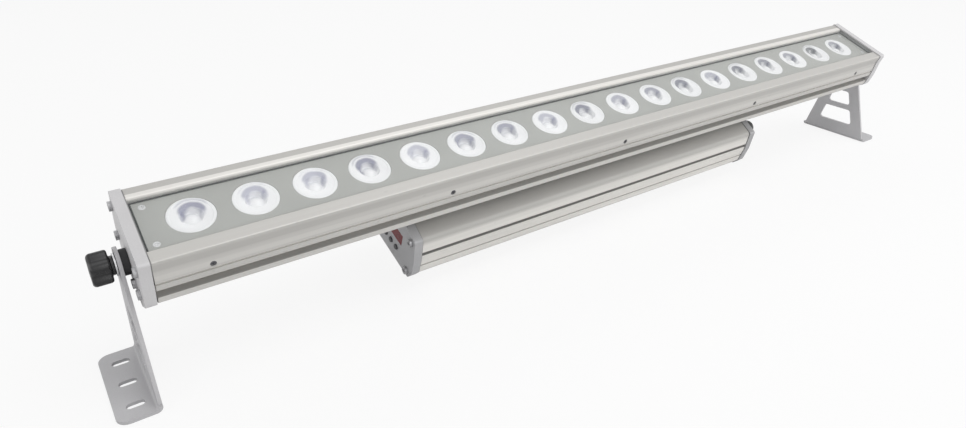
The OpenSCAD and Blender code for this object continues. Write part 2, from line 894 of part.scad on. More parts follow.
module grip_washer() {
    color("black")
    tilted()
    translate([0, 0, -pivot_drop])
    difference() {
        bar_x(-bracket_x + move_gap, -cap_face_x, grip_r);
        bar_x(-bracket_x - 1, -cap_face_x + 1, stud_r + move_gap);
    }
}

module grip_washer_left() {
    grip_washer();
}

module grip_washer_right() {
    mirror([1, 0, 0]) grip_washer();
}

// Upright of a bracket, seen along the lamp: round top, straight flanks and two windows.
module bracket_upright() {
    difference() {
        union() {
            translate([0, pivot_h]) circle(r = bracket_top_r);
            polygon([
                [-bracket_top_r, pivot_h],
                [-bracket_root_y, sheet_t],
                [bracket_root_y, sheet_t],
                [bracket_top_r, pivot_h]
            ]);
        }
        polygon(rounded(window_outline(lower_win_z, lower_win_top)));
        polygon(rounded(window_outline(lower_win_top + bar_h, lower_win_top + bar_h + upper_win_h)));
    }
}

// Half width of the upright at a height.
function upright_y(z) =
    bracket_root_y + (bracket_top_r - bracket_root_y) * (z - sheet_t) / (pivot_h - sheet_t);

// A window that keeps the same margin to both flanks, as [y, z, radius].
function window_outline(low, high) = [
    [upright_y(low) - win_margin, low, win_corner_r],
    [upright_y(high) - win_margin, high, win_corner_r],
    [-upright_y(high) + win_margin, high, win_corner_r],
    [-upright_y(low) + win_margin, low, win_corner_r]
];

slot_r = slot_w / 2;

// Foot and bend of a bracket at the left end, as a folded strip.
module bracket_foot() {
    inner_r = bend_r - sheet_t;
    middle = [-bracket_x - bend_r, bend_r];
    intersection() {
        difference() {
            box([-foot_out_x, -foot_d / 2, 0], [-bracket_x, foot_d / 2, bend_r]);
            // room above the foot, outside the upright
            box([-foot_out_x - 1, -foot_d, sheet_t], [middle.x, foot_d, bend_r + 1]);
            translate([middle.x, 0, middle.y])
                rotate([90, 0, 0]) cylinder(h = 2 * foot_d, r = inner_r, center = true);
            // outside of the bend
            difference() {
                box([middle.x, -foot_d, -1], [-bracket_x + 1, foot_d, bend_r]);
                translate([middle.x, 0, middle.y])
                    rotate([90, 0, 0]) cylinder(h = 3 * foot_d, r = bend_r, center = true);
            }
        }
        translate([0, 0, -1])
            linear_extrude(bend_r + 2)
            polygon(rounded([
                [-bracket_x + 1, -foot_d / 2, 0],
                [-bracket_x + 1, foot_d / 2, 0],
                [-foot_out_x, foot_d / 2, foot_corner_r],
                [-foot_out_x, -foot_d / 2, foot_corner_r]
            ]));
    }
}

module slot_places() {
    for (k = [-1:1])
        translate([-slot_x, k * slot_pitch, 0])
        children();
}

module bracket() {
    color("lightsteelblue")
    difference() {
        union() {
            bracket_foot();
            along_x(-bracket_x - sheet_t, -bracket_x)
            difference() {
                bracket_upright();
                translate([-foot_d, -1]) square([2 * foot_d, 1 + bend_r - eps]);
            }
        }
        translate([0, 0, pivot_h]) bar_x(-bracket_x - sheet_t - 1, -bracket_x + 1, stud_r + stud_fit);
        slot_places() {
            for (s = [-1, 1])
                translate([s * (slot_len / 2 - slot_r), 0, -1]) cylinder(h = sheet_t + 2, r = slot_r);
            box([-slot_len / 2 + slot_r, -slot_r, -1], [slot_len / 2 - slot_r, slot_r, sheet_t + 1]);
        }
    }
}

module bracket_left() {
    bracket();
}

module bracket_right() {
    mirror([1, 0, 0]) bracket();
}

// A lobed knob; its blind bore holds the clamp stud.
module knob() {
    color("black")
    translate([0, 0, pivot_h])
    difference() {
        union() {
            bar_x(-knob_head_x - eps, -knob_hub_x, hub_r);
            bar_x(-knob_head_x - knob_t, -knob_head_x, knob_r - lobe_r * 0.7);
            for (k = [0:lobe_n - 1])
                rotate([(k + 0.5) * 360 / lobe_n, 0, 0])
                translate([0, knob_r - lobe_r, 0])
                bar_x(-knob_head_x - knob_t, -knob_head_x, lobe_r);
        }
        bar_x(-stud_out_x - 0.5, -knob_hub_x + 1, stud_r + 0.02);
        // shallow dish in the face
        bar_x(-knob_head_x - knob_t - 1, -knob_head_x - knob_t + 1, hub_r * 0.7);
    }
}

module knob_left() {
    knob();
}

module knob_right() {
    mirror([1, 0, 0]) knob();
}

module knob_stud() {
    color("gainsboro")
    translate([0, 0, pivot_h])
    bar_x(-stud_out_x, -stud_in_x - move_gap, stud_r);
}

module knob_stud_left() {
    knob_stud();
}

module knob_stud_right() {
    mirror([1, 0, 0]) knob_stud();
}

module steel_washer() {
    color("silver")
    translate([0, 0, pivot_h])
    difference() {
        bar_x(-knob_hub_x, -knob_hub_x + washer_t, washer_r);
        bar_x(-knob_hub_x - 1, -knob_hub_x + washer_t + 1, stud_r + 0.02);
    }
}

module steel_washer_left() {
    steel_washer();
}

module steel_washer_right() {
    mirror([1, 0, 0]) steel_washer();
}

// Driver box

module driver_housing() {
    color("silver")
    tilted()
    difference() {
        along_x(-driver_end_x, driver_end_x) polygon(rounded(both_sides(driver_outline)));
        difference() {
            along_x(-driver_end_x - 1, driver_end_x + 1) polygon(rounded(both_sides(driver_inside)));
            port_bosses(driver_ports, -driver_end_x - 2, driver_end_x + 2, port_r);
        }
        port_bosses(driver_ports, -driver_end_x - 1, driver_end_x + 1, port_bore_r);
        hanger_screw_places()
            translate([0, 0, driver_top_z - driver_wall - 1])
            cylinder(h = driver_wall + 2, r = hanger_screw_r + fit_gap);
        translate([conduit_x, 0, driver_top_z - driver_wall - 1])
            cylinder(h = driver_wall + 2, r = conduit_r + fit_gap);
        supply_screw_places()
            translate([0, 0, driver_top_z - driver_h - 1])
            cylinder(h = driver_wall + 2, r = small_screw_r + 0.1);
        standoff_places()
            translate([0, 0, driver_top_z - driver_h - 1])
            cylinder(h = driver_wall + 2, r = small_screw_r + 0.1);
    }
}

module driver_cap_blank() {
    difference() {
        along_x(-driver_face_x, -driver_cap_back_x) polygon(rounded(both_sides(driver_cap_outline)));
        difference() {
            along_x(-driver_face_x + driver_cap_skin, -driver_cap_back_x + 1)
                polygon(rounded(both_sides(driver_inside)));
            port_bosses(driver_ports, -driver_face_x, -driver_cap_back_x + 2, port_r + 0.5);
        }
        port_bosses(driver_ports, -driver_face_x - 1, -driver_cap_back_x + 1, cap_screw_r + 0.2);
    }
}

// Place of a button in the left driver cap, on its outer face.
module button_place(k) {
    translate([-driver_face_x, (k - 1.5) * button_pitch, button_z])
    children();
}

module driver_cap_left() {
    color("darkgray")
    tilted()
    difference() {
        driver_cap_blank();
        box([-driver_face_x - 1, -display_y - display_w / 2, display_z - display_h / 2],
            [-driver_face_x + driver_cap_skin + 1, -display_y + display_w / 2, display_z + display_h / 2]);
        box([-driver_face_x - 1, -display_y - display_w / 2 - display_lip,
                display_z - display_h / 2 - display_lip],
            [-driver_face_x + display_pane_t, -display_y + display_w / 2 + display_lip,
                display_z + display_h / 2 + display_lip]);
        for (k = [0:3])
            button_place(k) bar_x(-1, driver_cap_skin + 1, button_r + move_gap);
    }
}

module driver_cap_right() {
    color("darkgray")
    tilted()
    mirror([1, 0, 0])
    difference() {
        driver_cap_blank();
        gland_places(power_gland_drop) bar_x(-1, driver_cap_skin + 1, power_thread_r + 0.05);
        gland_places(data_gland_drop) bar_x(-1, driver_cap_skin + 1, data_thread_r + 0.05);
        translate([-driver_face_x, 0, driver_top_z - vent_drop]) bar_x(-1, driver_cap_skin + 1, vent_r + 0.05);
    }
}

module driver_gasket() {
    color("dimgray")
    tilted()
    difference() {
        along_x(-driver_cap_back_x, -driver_end_x)
            polygon(rounded(both_sides([for (p = driver_outline) [p.x - gasket_in, p.y, p.z]])));
        difference() {
            along_x(-driver_cap_back_x - 1, -driver_end_x + 1) polygon(rounded(both_sides(driver_inside)));
            port_bosses(driver_ports, -driver_cap_back_x - 2, -driver_end_x + 2, port_r);
        }
        port_bosses(driver_ports, -driver_cap_back_x - 1, -driver_end_x + 1, cap_screw_r + 0.2);
    }
}

module driver_gasket_left() {
    driver_gasket();
}

module driver_gasket_right() {
    mirror([1, 0, 0]) driver_gasket();
}

module driver_cap_screws() {
    color("gainsboro")
    tilted()
    each_end()
    for (p = driver_ports)
        each_side()
        translate([-driver_face_x, p.x, p.y])
        pan_screw(cap_head_r, cap_head_h, cap_screw_r, cap_screw_len);
}

module hanger() {
    color("darkgray")
    tilted()
    difference() {
        box([-hanger_x - hanger_len / 2, -hanger_w / 2, driver_top_z],
            [-hanger_x + hanger_len / 2, hanger_w / 2, -keel_drop]);
        for (sy = [-1, 1])
            translate([-hanger_x, sy * rib_y, driver_top_z - 1])
                cylinder(h = hanger_h + 2, r = hanger_screw_r + fit_gap);
    }
}

module hanger_left() {
    hanger();
}

module hanger_right() {
    mirror([1, 0, 0]) hanger();
}

// Screws from inside the driver box, up through its top and the hangers into the keel ribs.
module hanger_screws() {
    color("gainsboro")
    tilted()
    hanger_screw_places()
    translate([0, 0, driver_top_z - driver_wall])
    rotate([0, -90, 0])
    pan_screw(cap_head_r, cap_head_h, hanger_screw_r, hanger_screw_len);
}

conduit_flange_r = conduit_r + 3;
conduit_flange_t = 3;
conduit_tail = 8;
conduit_nut_t = 4;
nut_land = 3;

// A hollow nipple that leads the wiring from the driver box into the lamp.
module link_conduit() {
    low_z = driver_top_z - driver_wall - conduit_tail;
    color("darkgray")
    tilted()
    translate([conduit_x, 0, 0])
    difference() {
        union() {
            translate([0, 0, low_z]) cylinder(h = -floor_drop - low_z, r = conduit_r);
            translate([0, 0, driver_top_z]) cylinder(h = conduit_flange_t, r = conduit_flange_r);
            translate([0, 0, -floor_drop - floor_t - conduit_flange_t])
                cylinder(h = conduit_flange_t, r = conduit_flange_r);
        }
        translate([0, 0, low_z - 1]) cylinder(h = -floor_drop - low_z + 2, r = conduit_bore_r);
    }
}

module hex_bar(h, across) {
    cylinder(h = h, d = across / cos(30), $fn = 6);
}

module conduit_nut() {
    color("gainsboro")
    tilted()
    translate([conduit_x, 0, driver_top_z - driver_wall - conduit_nut_t])
    difference() {
        hex_bar(conduit_nut_t, 2 * (conduit_r + nut_land));
        translate([0, 0, -1]) cylinder(h = conduit_nut_t + 2, r = conduit_r + 0.02);
    }
}

// Power supply, control board and what holds them
supply_len = 210;
supply_w = 62;
supply_h = 36;
supply_x = 90;
supply_ear = 12;
supply_ear_t = 3;

board_x = -150;
control_len = 120;
control_w = 62;
control_t = 1.6;
standoff_in = 5;
standoff_h = 8;
standoff_r = 3;
control_z = driver_floor_z + standoff_h;
control_top_z = control_z + control_t;

small_screw_r = 1.5;
small_head_r = 2.8;
small_head_h = 1.6;
small_screw_len = driver_wall + supply_ear_t;

module supply_screw_places() {
    for (s = [-1, 1])
        translate([supply_x + s * (supply_len + supply_ear) / 2, 0, 0])
        children();
}

module standoff_places() {
    for (sx = [-1, 1], sy = [-1, 1])
        translate([board_x + sx * (control_len / 2 - standoff_in), sy * (control_w / 2 - standoff_in), 0])
        children();
}

module power_supply() {
    color("lightgray")
    tilted()
    difference() {
        union() {
            box([supply_x - supply_len / 2, -supply_w / 2, driver_floor_z],
                [supply_x + supply_len / 2, supply_w / 2, driver_floor_z + supply_h]);
            // ears for its screws
            box([supply_x - supply_len / 2 - supply_ear, -supply_w / 4, driver_floor_z],
                [supply_x + supply_len / 2 + supply_ear, supply_w / 4, driver_floor_z + supply_ear_t]);
        }
        supply_screw_places()
            translate([0, 0, driver_floor_z - 1]) cylinder(h = supply_ear_t + 2, r = small_screw_r + 0.05);
    }
}

module small_screw() {
    rotate([0, -90, 0]) pan_screw(small_head_r, small_head_h, small_screw_r, small_screw_len);
}

// Equal screws: from below through the driver box's floor, and from above through the board.
module small_screws() {
    color("gainsboro")
    tilted() {
        translate([0, 0, driver_top_z - driver_h]) {
            supply_screw_places() small_screw();
            standoff_places() small_screw();
        }
        translate([0, 0, control_top_z])
            standoff_places() mirror([0, 0, 1]) small_screw();
    }
}

module board_standoffs() {
    color("goldenrod")
    tilted()
    standoff_places()
    difference() {
        translate([0, 0, driver_floor_z]) cylinder(h = standoff_h, r = standoff_r);
        translate([0, 0, driver_floor_z - 1]) cylinder(h = standoff_h + 2, r = small_screw_r + 0.05);
    }
}

chip_w = 14;
chip_h = 2;
choke_w = 14;
choke_h = 9;
choke_x = -27;
choke_y = 15;
capacitor_r = 5;
capacitor_h = 16;
capacitor_x = 38;
capacitor_pitch = 14;

// A square part of the board, by its middle.
module board_block(x, y, w, h) {
    box([board_x + x - w / 2, y - w / 2, control_top_z - eps],
        [board_x + x + w / 2, y + w / 2, control_top_z + h]);
}

module control_board() {
    color("seagreen")
    tilted()
    difference() {
        union() {
            box([board_x - control_len / 2, -control_w / 2, control_z],
                [board_x + control_len / 2, control_w / 2, control_top_z]);
            board_block(0, 0, chip_w, chip_h);
            board_block(choke_x, choke_y, choke_w, choke_h);
            for (k = [-1:1])
                translate([board_x + capacitor_x, k * capacitor_pitch, control_top_z - eps])
                cylinder(h = capacitor_h, r = capacitor_r);
        }
        standoff_places()
            translate([0, 0, control_z - 1]) cylinder(h = control_t + 2, r = small_screw_r + 0.05);
    }
}

terminal_n = 8;
terminal_pitch = 6;
terminal_w = 12;
terminal_h = 12;
terminal_x = 16;
terminal_bore_r = 2;
terminal_bore_h = 4;

module terminal_block() {
    color("darkgreen")
    tilted()
    translate([board_x + terminal_x, 0, control_top_z])
    difference() {
        box([-terminal_w / 2, -terminal_n * terminal_pitch / 2, 0],
            [terminal_w / 2, terminal_n * terminal_pitch / 2, terminal_h]);
        for (k = [0:terminal_n - 1])
            translate([0, (k - (terminal_n - 1) / 2) * terminal_pitch, terminal_h - terminal_bore_h])
            cylinder(h = terminal_bore_h + 1, r = terminal_bore_r);
    }
}

// Display and buttons in the left driver cap

module display_window() {
    color("darkred")
    tilted()
    box([-driver_face_x, -display_y - display_w / 2 - display_lip + fit_gap,
            display_z - display_h / 2 - display_lip + fit_gap],
        [-driver_face_x + display_pane_t, -display_y + display_w / 2 + display_lip - fit_gap,
            display_z + display_h / 2 + display_lip - fit_gap]);
}

display_board_x = driver_cap_back_x - 3;

module display_module() {
    color([0.25, 0.05, 0.05])
    tilted()
    box([-driver_face_x + display_pane_t, -display_y - display_w / 2 + fit_gap,
            display_z - display_h / 2 + fit_gap],
        [-display_board_x, -display_y + display_w / 2 - fit_gap, display_z + display_h / 2 - fit_gap]);
}

// Stem of a button: a round cap, a flange behind the skin and a pin towards its switch.
button_flange_r = button_r + 1.2;
button_flange_t = 1;
button_pin_r = 1.5;
button_pin_len = 1.5;
button_stem_x = driver_cap_skin + move_gap + button_flange_t + button_pin_len;

module button(k) {
    color("black")
    tilted()
    button_place(k)
    union() {
        bar_x(-button_out, driver_cap_skin + move_gap + eps, button_r);
        bar_x(driver_cap_skin + move_gap, driver_cap_skin + move_gap + button_flange_t, button_flange_r);
        bar_x(driver_cap_skin + move_gap, button_stem_x, button_pin_r);
    }
}

module button_menu() {
    button(0);
}

module button_down() {
    button(1);
}

module button_up() {
    button(2);
}

module button_enter() {
    button(3);
}

display_board_y = 28;
switch_w = 6;

module display_board() {
    switch_x = driver_face_x - button_stem_x - button_travel - move_gap;
    color("seagreen")
    tilted()
    union() {
        box([-display_board_x, -display_board_y, button_z - switch_w],
            [-display_board_x + display_board_t, display_board_y, display_z + display_h / 2]);
        for (k = [0:3])
            translate([0, (k - 1.5) * button_pitch, button_z])
            box([-switch_x, -switch_w / 2, -switch_w / 2],
                [-display_board_x + eps, switch_w / 2, switch_w / 2]);
    }
}

// Cable glands and vent in the right driver cap
vent_r = 5;
vent_head_r = 7;
vent_head_t = 3;
vent_drop = 31;
gland_seat_t = 5;
gland_tail = 1;
gland_wall = 2.5;
gland_nut_wall = 1.5;
hex_land = 1.5;
dome_nut_h = 16;
dome_nut_hex = dome_nut_h * 0.6;
dome_nut_step = dome_nut_h * 0.85;

module gland_places(drop) {
    for (s = [-1, 1])
        translate([-driver_face_x, s * gland_y, driver_top_z - drop])
        children();
}

// Radius of the neck that the dome nut turns on, and of the bore that a cable goes through.
function gland_neck_r(thread_r) = thread_r - gland_nut_wall;
function gland_bore_r(thread_r) = gland_neck_r(thread_r) - gland_wall;

// Body of a gland, its hexagon seated on the cap and its thread through the skin.
module gland_body(thread_r) {
    difference() {
        union() {
            rotate([0, -90, 0]) hex_bar(gland_seat_t, 2 * (thread_r + hex_land));
            bar_x(-eps, driver_cap_skin + gland_tail, thread_r);
            bar_x(-gland_seat_t - dome_nut_hex, -gland_seat_t + eps, gland_neck_r(thread_r));
        }
        bar_x(-gland_seat_t - dome_nut_h, driver_cap_skin + gland_tail + 1, gland_bore_r(thread_r));
    }
}

module gland_nut(thread_r) {
    translate([-gland_seat_t, 0, 0])
    difference() {
        union() {
            rotate([0, -90, 0]) hex_bar(dome_nut_hex, 2 * thread_r + hex_land);
            bar_x(-dome_nut_step, -dome_nut_hex + eps, thread_r);
            bar_x(-dome_nut_h, -dome_nut_step + eps, gland_neck_r(thread_r));
        }
        bar_x(-dome_nut_hex - 0.3, 1, gland_neck_r(thread_r) + 0.05);
        bar_x(-dome_nut_h - 1, 1, gland_bore_r(thread_r));
    }
}

module power_glands() {
    color("gray")
    tilted()
    mirror([1, 0, 0]) gland_places(power_gland_drop) gland_body(power_thread_r);
}

module power_gland_nuts() {
    color("dimgray")
    tilted()
    mirror([1, 0, 0]) gland_places(power_gland_drop) gland_nut(power_thread_r);
}

module data_glands() {
    color("gray")
    tilted()
    mirror([1, 0, 0]) gland_places(data_gland_drop) gland_body(data_thread_r);
}

module data_gland_nuts() {
    color("dimgray")
    tilted()
    mirror([1, 0, 0]) gland_places(data_gland_drop) gland_nut(data_thread_r);
}

module vent_plug() {
    color("gray")
    tilted()
    mirror([1, 0, 0])
    translate([-driver_face_x, 0, driver_top_z - vent_drop])
    union() {
        bar_x(-vent_head_t, 0, vent_head_r);
        bar_x(-eps, driver_cap_skin, vent_r);
    }
}

lamp_housing();
lamp_cap_left();
lamp_cap_right();
cap_gasket_left();
cap_gasket_right();
cap_screws_left();
cap_screws_right();
face_plate();
face_plate_screws();
plate_posts();
front_glass();
glass_seal();
lenses();
lens_holders();
led_emitters();
led_board_left();
led_board_middle();
led_board_right();
led_tray();
side_screws();
pivot_insert_left();
pivot_insert_right();
grip_washer_left();
grip_washer_right();
driver_housing();
driver_cap_left();
driver_cap_right();
driver_gasket_left();
driver_gasket_right();
driver_cap_screws();
hanger_left();
hanger_right();
hanger_screws();
power_supply();
small_screws();
control_board();
terminal_block();
board_standoffs();
display_window();
display_module();
display_board();
link_conduit();
conduit_nut();
power_glands();
power_gland_nuts();
data_glands();
data_gland_nuts();
vent_plug();
bracket_left();
bracket_right();
knob_left();
knob_right();
knob_stud_left();
knob_stud_right();
steel_washer_left();
steel_washer_right();
button_menu();
button_down();
button_up();
button_enter();
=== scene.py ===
import math
from collections import namedtuple

import bmesh
import bpy
from mathutils import Matrix, Vector


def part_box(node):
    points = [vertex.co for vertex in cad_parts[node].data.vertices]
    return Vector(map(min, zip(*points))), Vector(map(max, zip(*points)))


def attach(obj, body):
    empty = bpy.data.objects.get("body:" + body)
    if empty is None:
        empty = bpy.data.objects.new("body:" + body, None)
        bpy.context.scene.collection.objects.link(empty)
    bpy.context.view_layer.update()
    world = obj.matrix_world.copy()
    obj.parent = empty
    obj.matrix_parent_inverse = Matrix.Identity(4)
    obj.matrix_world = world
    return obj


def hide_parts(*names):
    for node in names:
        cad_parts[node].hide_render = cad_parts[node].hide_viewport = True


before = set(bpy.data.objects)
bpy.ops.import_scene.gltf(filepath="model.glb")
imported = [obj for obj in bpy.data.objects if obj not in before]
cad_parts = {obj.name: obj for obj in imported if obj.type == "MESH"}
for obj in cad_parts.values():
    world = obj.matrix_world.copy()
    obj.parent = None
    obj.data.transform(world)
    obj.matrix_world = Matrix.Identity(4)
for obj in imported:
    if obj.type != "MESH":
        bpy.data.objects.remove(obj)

bl_info = {
    "name": "Wall washer light",
    "version": (1, 0, 0),
    "blender": (4, 5, 0),
    "location": "3D View > Sidebar > Wall washer",
    "description": "Dresses the solid parts of a one metre wall washer light",
    "category": "Object",
}

MM = 0.001

# The lamp is drawn level, in millimetres with height 0 on top of the face plate, and is then
# tilted about the line through its two clamps.
TILT = math.radians(21)
PIVOT_HEIGHT = 116
PIVOT_DROP = 34
LEVEL = (
    Matrix.Scale(MM, 4)
    @ Matrix.Translation((0, 0, PIVOT_HEIGHT))
    @ Matrix.Rotation(TILT, 4, "X")
    @ Matrix.Translation((0, 0, PIVOT_DROP))
)
UNTILT = (-TILT, 0, 0)

# Points of a solid that lie this close together, in metres, are welded. Faces that turn by less
# than the flat angle at an edge are joined, and by more than the sharp angle have it eased.
WELD = 3e-6
FLAT_ANGLE = math.radians(0.5)
SHARP_ANGLE = math.radians(28)

# The inner edges of the housing's two rims, in the level lamp.
RIM_EDGE_HEIGHTS = (3.5, 5.5)
RIM_EDGE_SIDES = (26, 31)
RIM_EDGE_LENGTH = 100

LENS_COUNT = 18
LENS_PITCH = 52.8
LENS_R = 19.5
LENS_FOOT = -18.4
RECESS_R = 6.6
RECESS_CROWN = 2.6

# The rest of a lens's section, as (radius, height): the shallow dish, the rim, the flange with the
# cone under it, and the well over the light emitter.
LENS_DISH = [(11.5, -1.15), (13.5, -0.75), (15.6, -0.5), (16.6, -0.45)]
LENS_RIM = [(16.9, -0.1), (17.3, 0), (18.9, 0), (19.3, -0.15), (LENS_R, -0.5)]
LENS_CONE = [(LENS_R, -2.6), (17.5, -2.6), (16, -6.6), (12, -13.4), (7, LENS_FOOT)]
LENS_WELL = [(4.6, LENS_FOOT), (4.6, LENS_FOOT + 4.2), (2.3, LENS_FOOT + 5.6), (0, LENS_FOOT + 6)]

KNOB_HEAD = 15
KNOB_HUB = 8
KNOB_BORE = 4.05
KNOB_BORE_SHARE = 0.6
KNOB_BACK_ROUND = 2
KNOB_LOBES = 6
KNOB_LOBES_IN = 0.2
KNOB_STEPS = 96

FLOOR_HALF = 14
FLOOR_WHITENESS = 0.85
WORLD_LIGHT = 0.45

# name, place, target, (width, height) in metres, power in watts
LIGHTS = (
    ("key", (0.7, -0.9, 2.3), (0.2, 0, 0.1), (3.2, 2.4), 11),
    ("near", (0.15, -0.5, 1.35), (0.1, 0, 0.1), (1.0, 0.8), 3.6),
    ("back", (0.5, 1.6, 1.7), (0, 0, 0.1), (2.4, 1.2), 5.5),
    ("front", (0.95, -1.6, 0.75), (0.2, 0, 0.1), (2.8, 1.3), 13.5),
    ("side", (-2.2, 0.25, 0.75), (-0.4, 0, 0.1), (3.0, 1.3), 10),
)

# The camera, as it was fitted to the photo's view of the lamp.
CAMERA_PLACE = (-0.5433, -0.5679, 0.4191)
CAMERA_RIGHT = (0.826, -0.563, -0.003)
CAMERA_AHEAD = (0.503, 0.739, -0.447)
CAMERA_LENS = 26.9049
CAMERA_SHIFT = -0.0175

# A Mix node's sockets for colours, which share their names with those for its other kinds.
MIX_FIRST, MIX_SECOND, MIX_RESULT = 6, 7, 2


# Finishes


class Value:
    """A shader socket that takes part in Python sums."""

    def __init__(self, nodes, socket):
        self.nodes = nodes
        self.socket = socket

    def _sum(self, operation, *terms, clamp=False):
        return self.nodes.node(
            "ShaderNodeMath", {"operation": operation, "use_clamp": clamp}, dict(enumerate(terms))
        )

    def __add__(self, other):
        return self._sum("ADD", self, other)

    def __sub__(self, other):
        return self._sum("SUBTRACT", self, other)

    def __rsub__(self, other):
        return self._sum("SUBTRACT", other, self)

    def __mul__(self, other):
        return self._sum("MULTIPLY", self, other)

    def __truediv__(self, other):
        return self._sum("DIVIDE", self, other)

    def __pow__(self, other):
        return self._sum("POWER", self, other)

    __radd__ = __add__
    __rmul__ = __mul__

    def size(self):
        return self._sum("ABSOLUTE", self)

    def most(self, other):
        return self._sum("MAXIMUM", self, other)

    def clamped(self):
        return self._sum("ADD", self, 0.0, clamp=True)

    def ramp(self, low, high):
        """0 below low, 1 above high and smooth between them."""
        return self.nodes.node(
            "ShaderNodeMapRange",
            {"interpolation_type": "SMOOTHSTEP"},
            {"Value": self, "From Min": low, "From Max": high},
        )

    def between(self, low, high, soft):
        """1 from low to high and 0 outside, with soft edges."""
        return self.ramp(low - soft, low + soft) * (1 - self.ramp(high - soft, high + soft))


class Nodes:
    """A node tree that is built with one method."""

    def __init__(self, tree):
        self.tree = tree

    def node(self, kind, settings=None, values=None, out=0):
        made = self.tree.nodes.new(kind)
        for key, value in (settings or {}).items():
            setattr(made, key, value)
        for key, value in (values or {}).items():
            self.feed(made.inputs[key], value)
        return Value(self, made.outputs[out])

    def feed(self, socket, value):
        if isinstance(value, Value):
            self.tree.links.new(value.socket, socket)
        else:
            socket.default_value = value

    def parts(self, vector):
        """The three numbers of a vector."""
        first = self.node("ShaderNodeSeparateXYZ", values={"Vector": vector})
        return [Value(self, socket) for socket in first.socket.node.outputs]


class Finish(Nodes):
    """A material, with the nodes that feed its shader."""

    def __init__(self, name):
        self.material = bpy.data.materials.new(name)
        self.material.use_nodes = True
        super().__init__(self.material.node_tree)
        self.shader = self.tree.nodes["Principled BSDF"]
        self.output = self.tree.nodes["Material Output"]
        self.coordinates = None

    def place(self, scale=(1, 1, 1), rotation=(0, 0, 0), location=(0, 0, 0)):
        """Object coordinates, moved, turned and then scaled."""
        if self.coordinates is None:
            self.coordinates = self.node("ShaderNodeTexCoord", out="Object")
        turned = self.node(
            "ShaderNodeMapping",
            values={"Vector": self.coordinates, "Rotation": rotation, "Location": location},
        )
        return self.node("ShaderNodeMapping", values={"Vector": turned, "Scale": scale})

    def level(self):
        """Across and up in the level lamp, in millimetres."""
        pivot = Matrix.Rotation(-TILT, 3, "X") @ Vector((0, 0, PIVOT_HEIGHT * MM))
        start = tuple(-pivot - Vector((0, 0, PIVOT_DROP * MM)))
        in_mm = (1 / MM, 1 / MM, 1 / MM)
        return self.parts(self.place(in_mm, UNTILT, start))[1:]

    def noise(self, scale, stretch=(1, 1, 1), detail=3.0, roughness=0.5):
        return self.node(
            "ShaderNodeTexNoise",
            values={
                "Vector": self.place(stretch),
                "Scale": scale,
                "Detail": detail,
                "Roughness": roughness,
            },
        )

    def bricks(self, scale, mortar, width, height, offset=0.0, every=2):
        """White lines between black bricks that lie along the level lamp."""
        return self.node(
            "ShaderNodeTexBrick",
            {"offset": offset, "offset_frequency": every},
            {
                "Vector": self.place(rotation=UNTILT),
                "Color1": (0, 0, 0, 1),
                "Color2": (0, 0, 0, 1),
                "Mortar": (1, 1, 1, 1),
                "Scale": scale,
                "Mortar Size": mortar,
                "Brick Width": width,
                "Row Height": height,
            },
        )

    def colours(self, factor, stops):
        """A colour ramp with the given (position, colour) stops."""
        ramp = self.node("ShaderNodeValToRGB", values={"Fac": factor})
        band = ramp.socket.node.color_ramp
        while len(band.elements) < len(stops):
            band.elements.new(0.5)
        for element, (position, colour) in zip(band.elements, stops):
            element.position = position
            element.color = (*colour, 1)
        return ramp

    def mix(self, factor, first, second):
        """Two colours mixed, each a Value or a tuple of three."""
        made = self.tree.nodes.new("ShaderNodeMix")
        made.data_type = "RGBA"
        self.feed(made.inputs["Factor"], factor)
        for socket, value in ((MIX_FIRST, first), (MIX_SECOND, second)):
            self.feed(made.inputs[socket], (*value, 1) if isinstance(value, tuple) else value)
        return Value(self, made.outputs[MIX_RESULT])

    def bump(self, height, strength, distance=0.001):
        return self.node(
            "ShaderNodeBump", values={"Height": height, "Strength": strength, "Distance": distance}
        )

    def apply(self, **values):
        """Sets the shader's own sockets; the names have their spaces as underscores."""
        for key, value in values.items():
            self.feed(self.shader.inputs[key.replace("_", " ")], value)
        return self.material


def shade(colour, factor):
    return tuple(min(1.0, c * factor) for c in colour)


# A strip of the level section, in mm, that is mixed by its share with a darker or lighter shade of
# its colour:
# painted shade in grooves and under parts, painted highlights on edges. It lies on both sides, or
# on the back one alone.
PaintedBand = namedtuple("PaintedBand", "sides nearest furthest bottom top soft share factor")

HOUSING_PAINTED_SHADING = (
    # painted shade on the rims' tops, more on the back one, a painted highlight where the back one
    # turns down, and painted highlights on their inner faces
    PaintedBand("both", 30.5, 42.2, 3.9, 5.0, 0.15, 0.7, 0.9),
    PaintedBand("back", 34.4, 42.2, 3.9, 5.0, 0.4, 0.9, 0.8),
    PaintedBand("back", 30.0, 34.2, 1.5, 5.0, 0.5, 0.8, 1.35),
    PaintedBand("both", 28.0, 28.9, 0.1, 4.2, 0.15, 0.5, 1.2),
    # painted shade under the rim, a painted highlight line, painted light in the narrow groove,
    # painted shade in the wide groove and a painted highlight on the lip
    PaintedBand("both", 38.0, 46.0, -6.5, 1.0, 1.5, 0.7, 0.83),
    PaintedBand("both", 38.0, 46.0, -16.0, -11.0, 1.2, 0.7, 1.16),
    PaintedBand("both", 30.0, 43.4, -20.6, -18.2, 0.15, 0.5, 1.4),
    PaintedBand("both", 30.0, 44.3, -34.8, -25.8, 0.15, 0.2, 0.25),
    PaintedBand("both", 40.0, 46.0, -41.2, -34.9, 0.15, 0.6, 1.2),
)
DRIVER_PAINTED_SHADE = (
    # the painted shadow of the lamp on the top that it covers, then painted shade in the upper and
    # the lower groove of each side
    PaintedBand("both", -20.0, 60.0, -74.0, -55.0, 4.0, 0.9, 0.58),
    PaintedBand("both", 40.0, 48.9, -89.8, -85.3, 0.15, 0.75, 0.2),
    PaintedBand("both", 40.0, 49.8, -104.7, -101.8, 0.15, 0.4, 0.3),
)


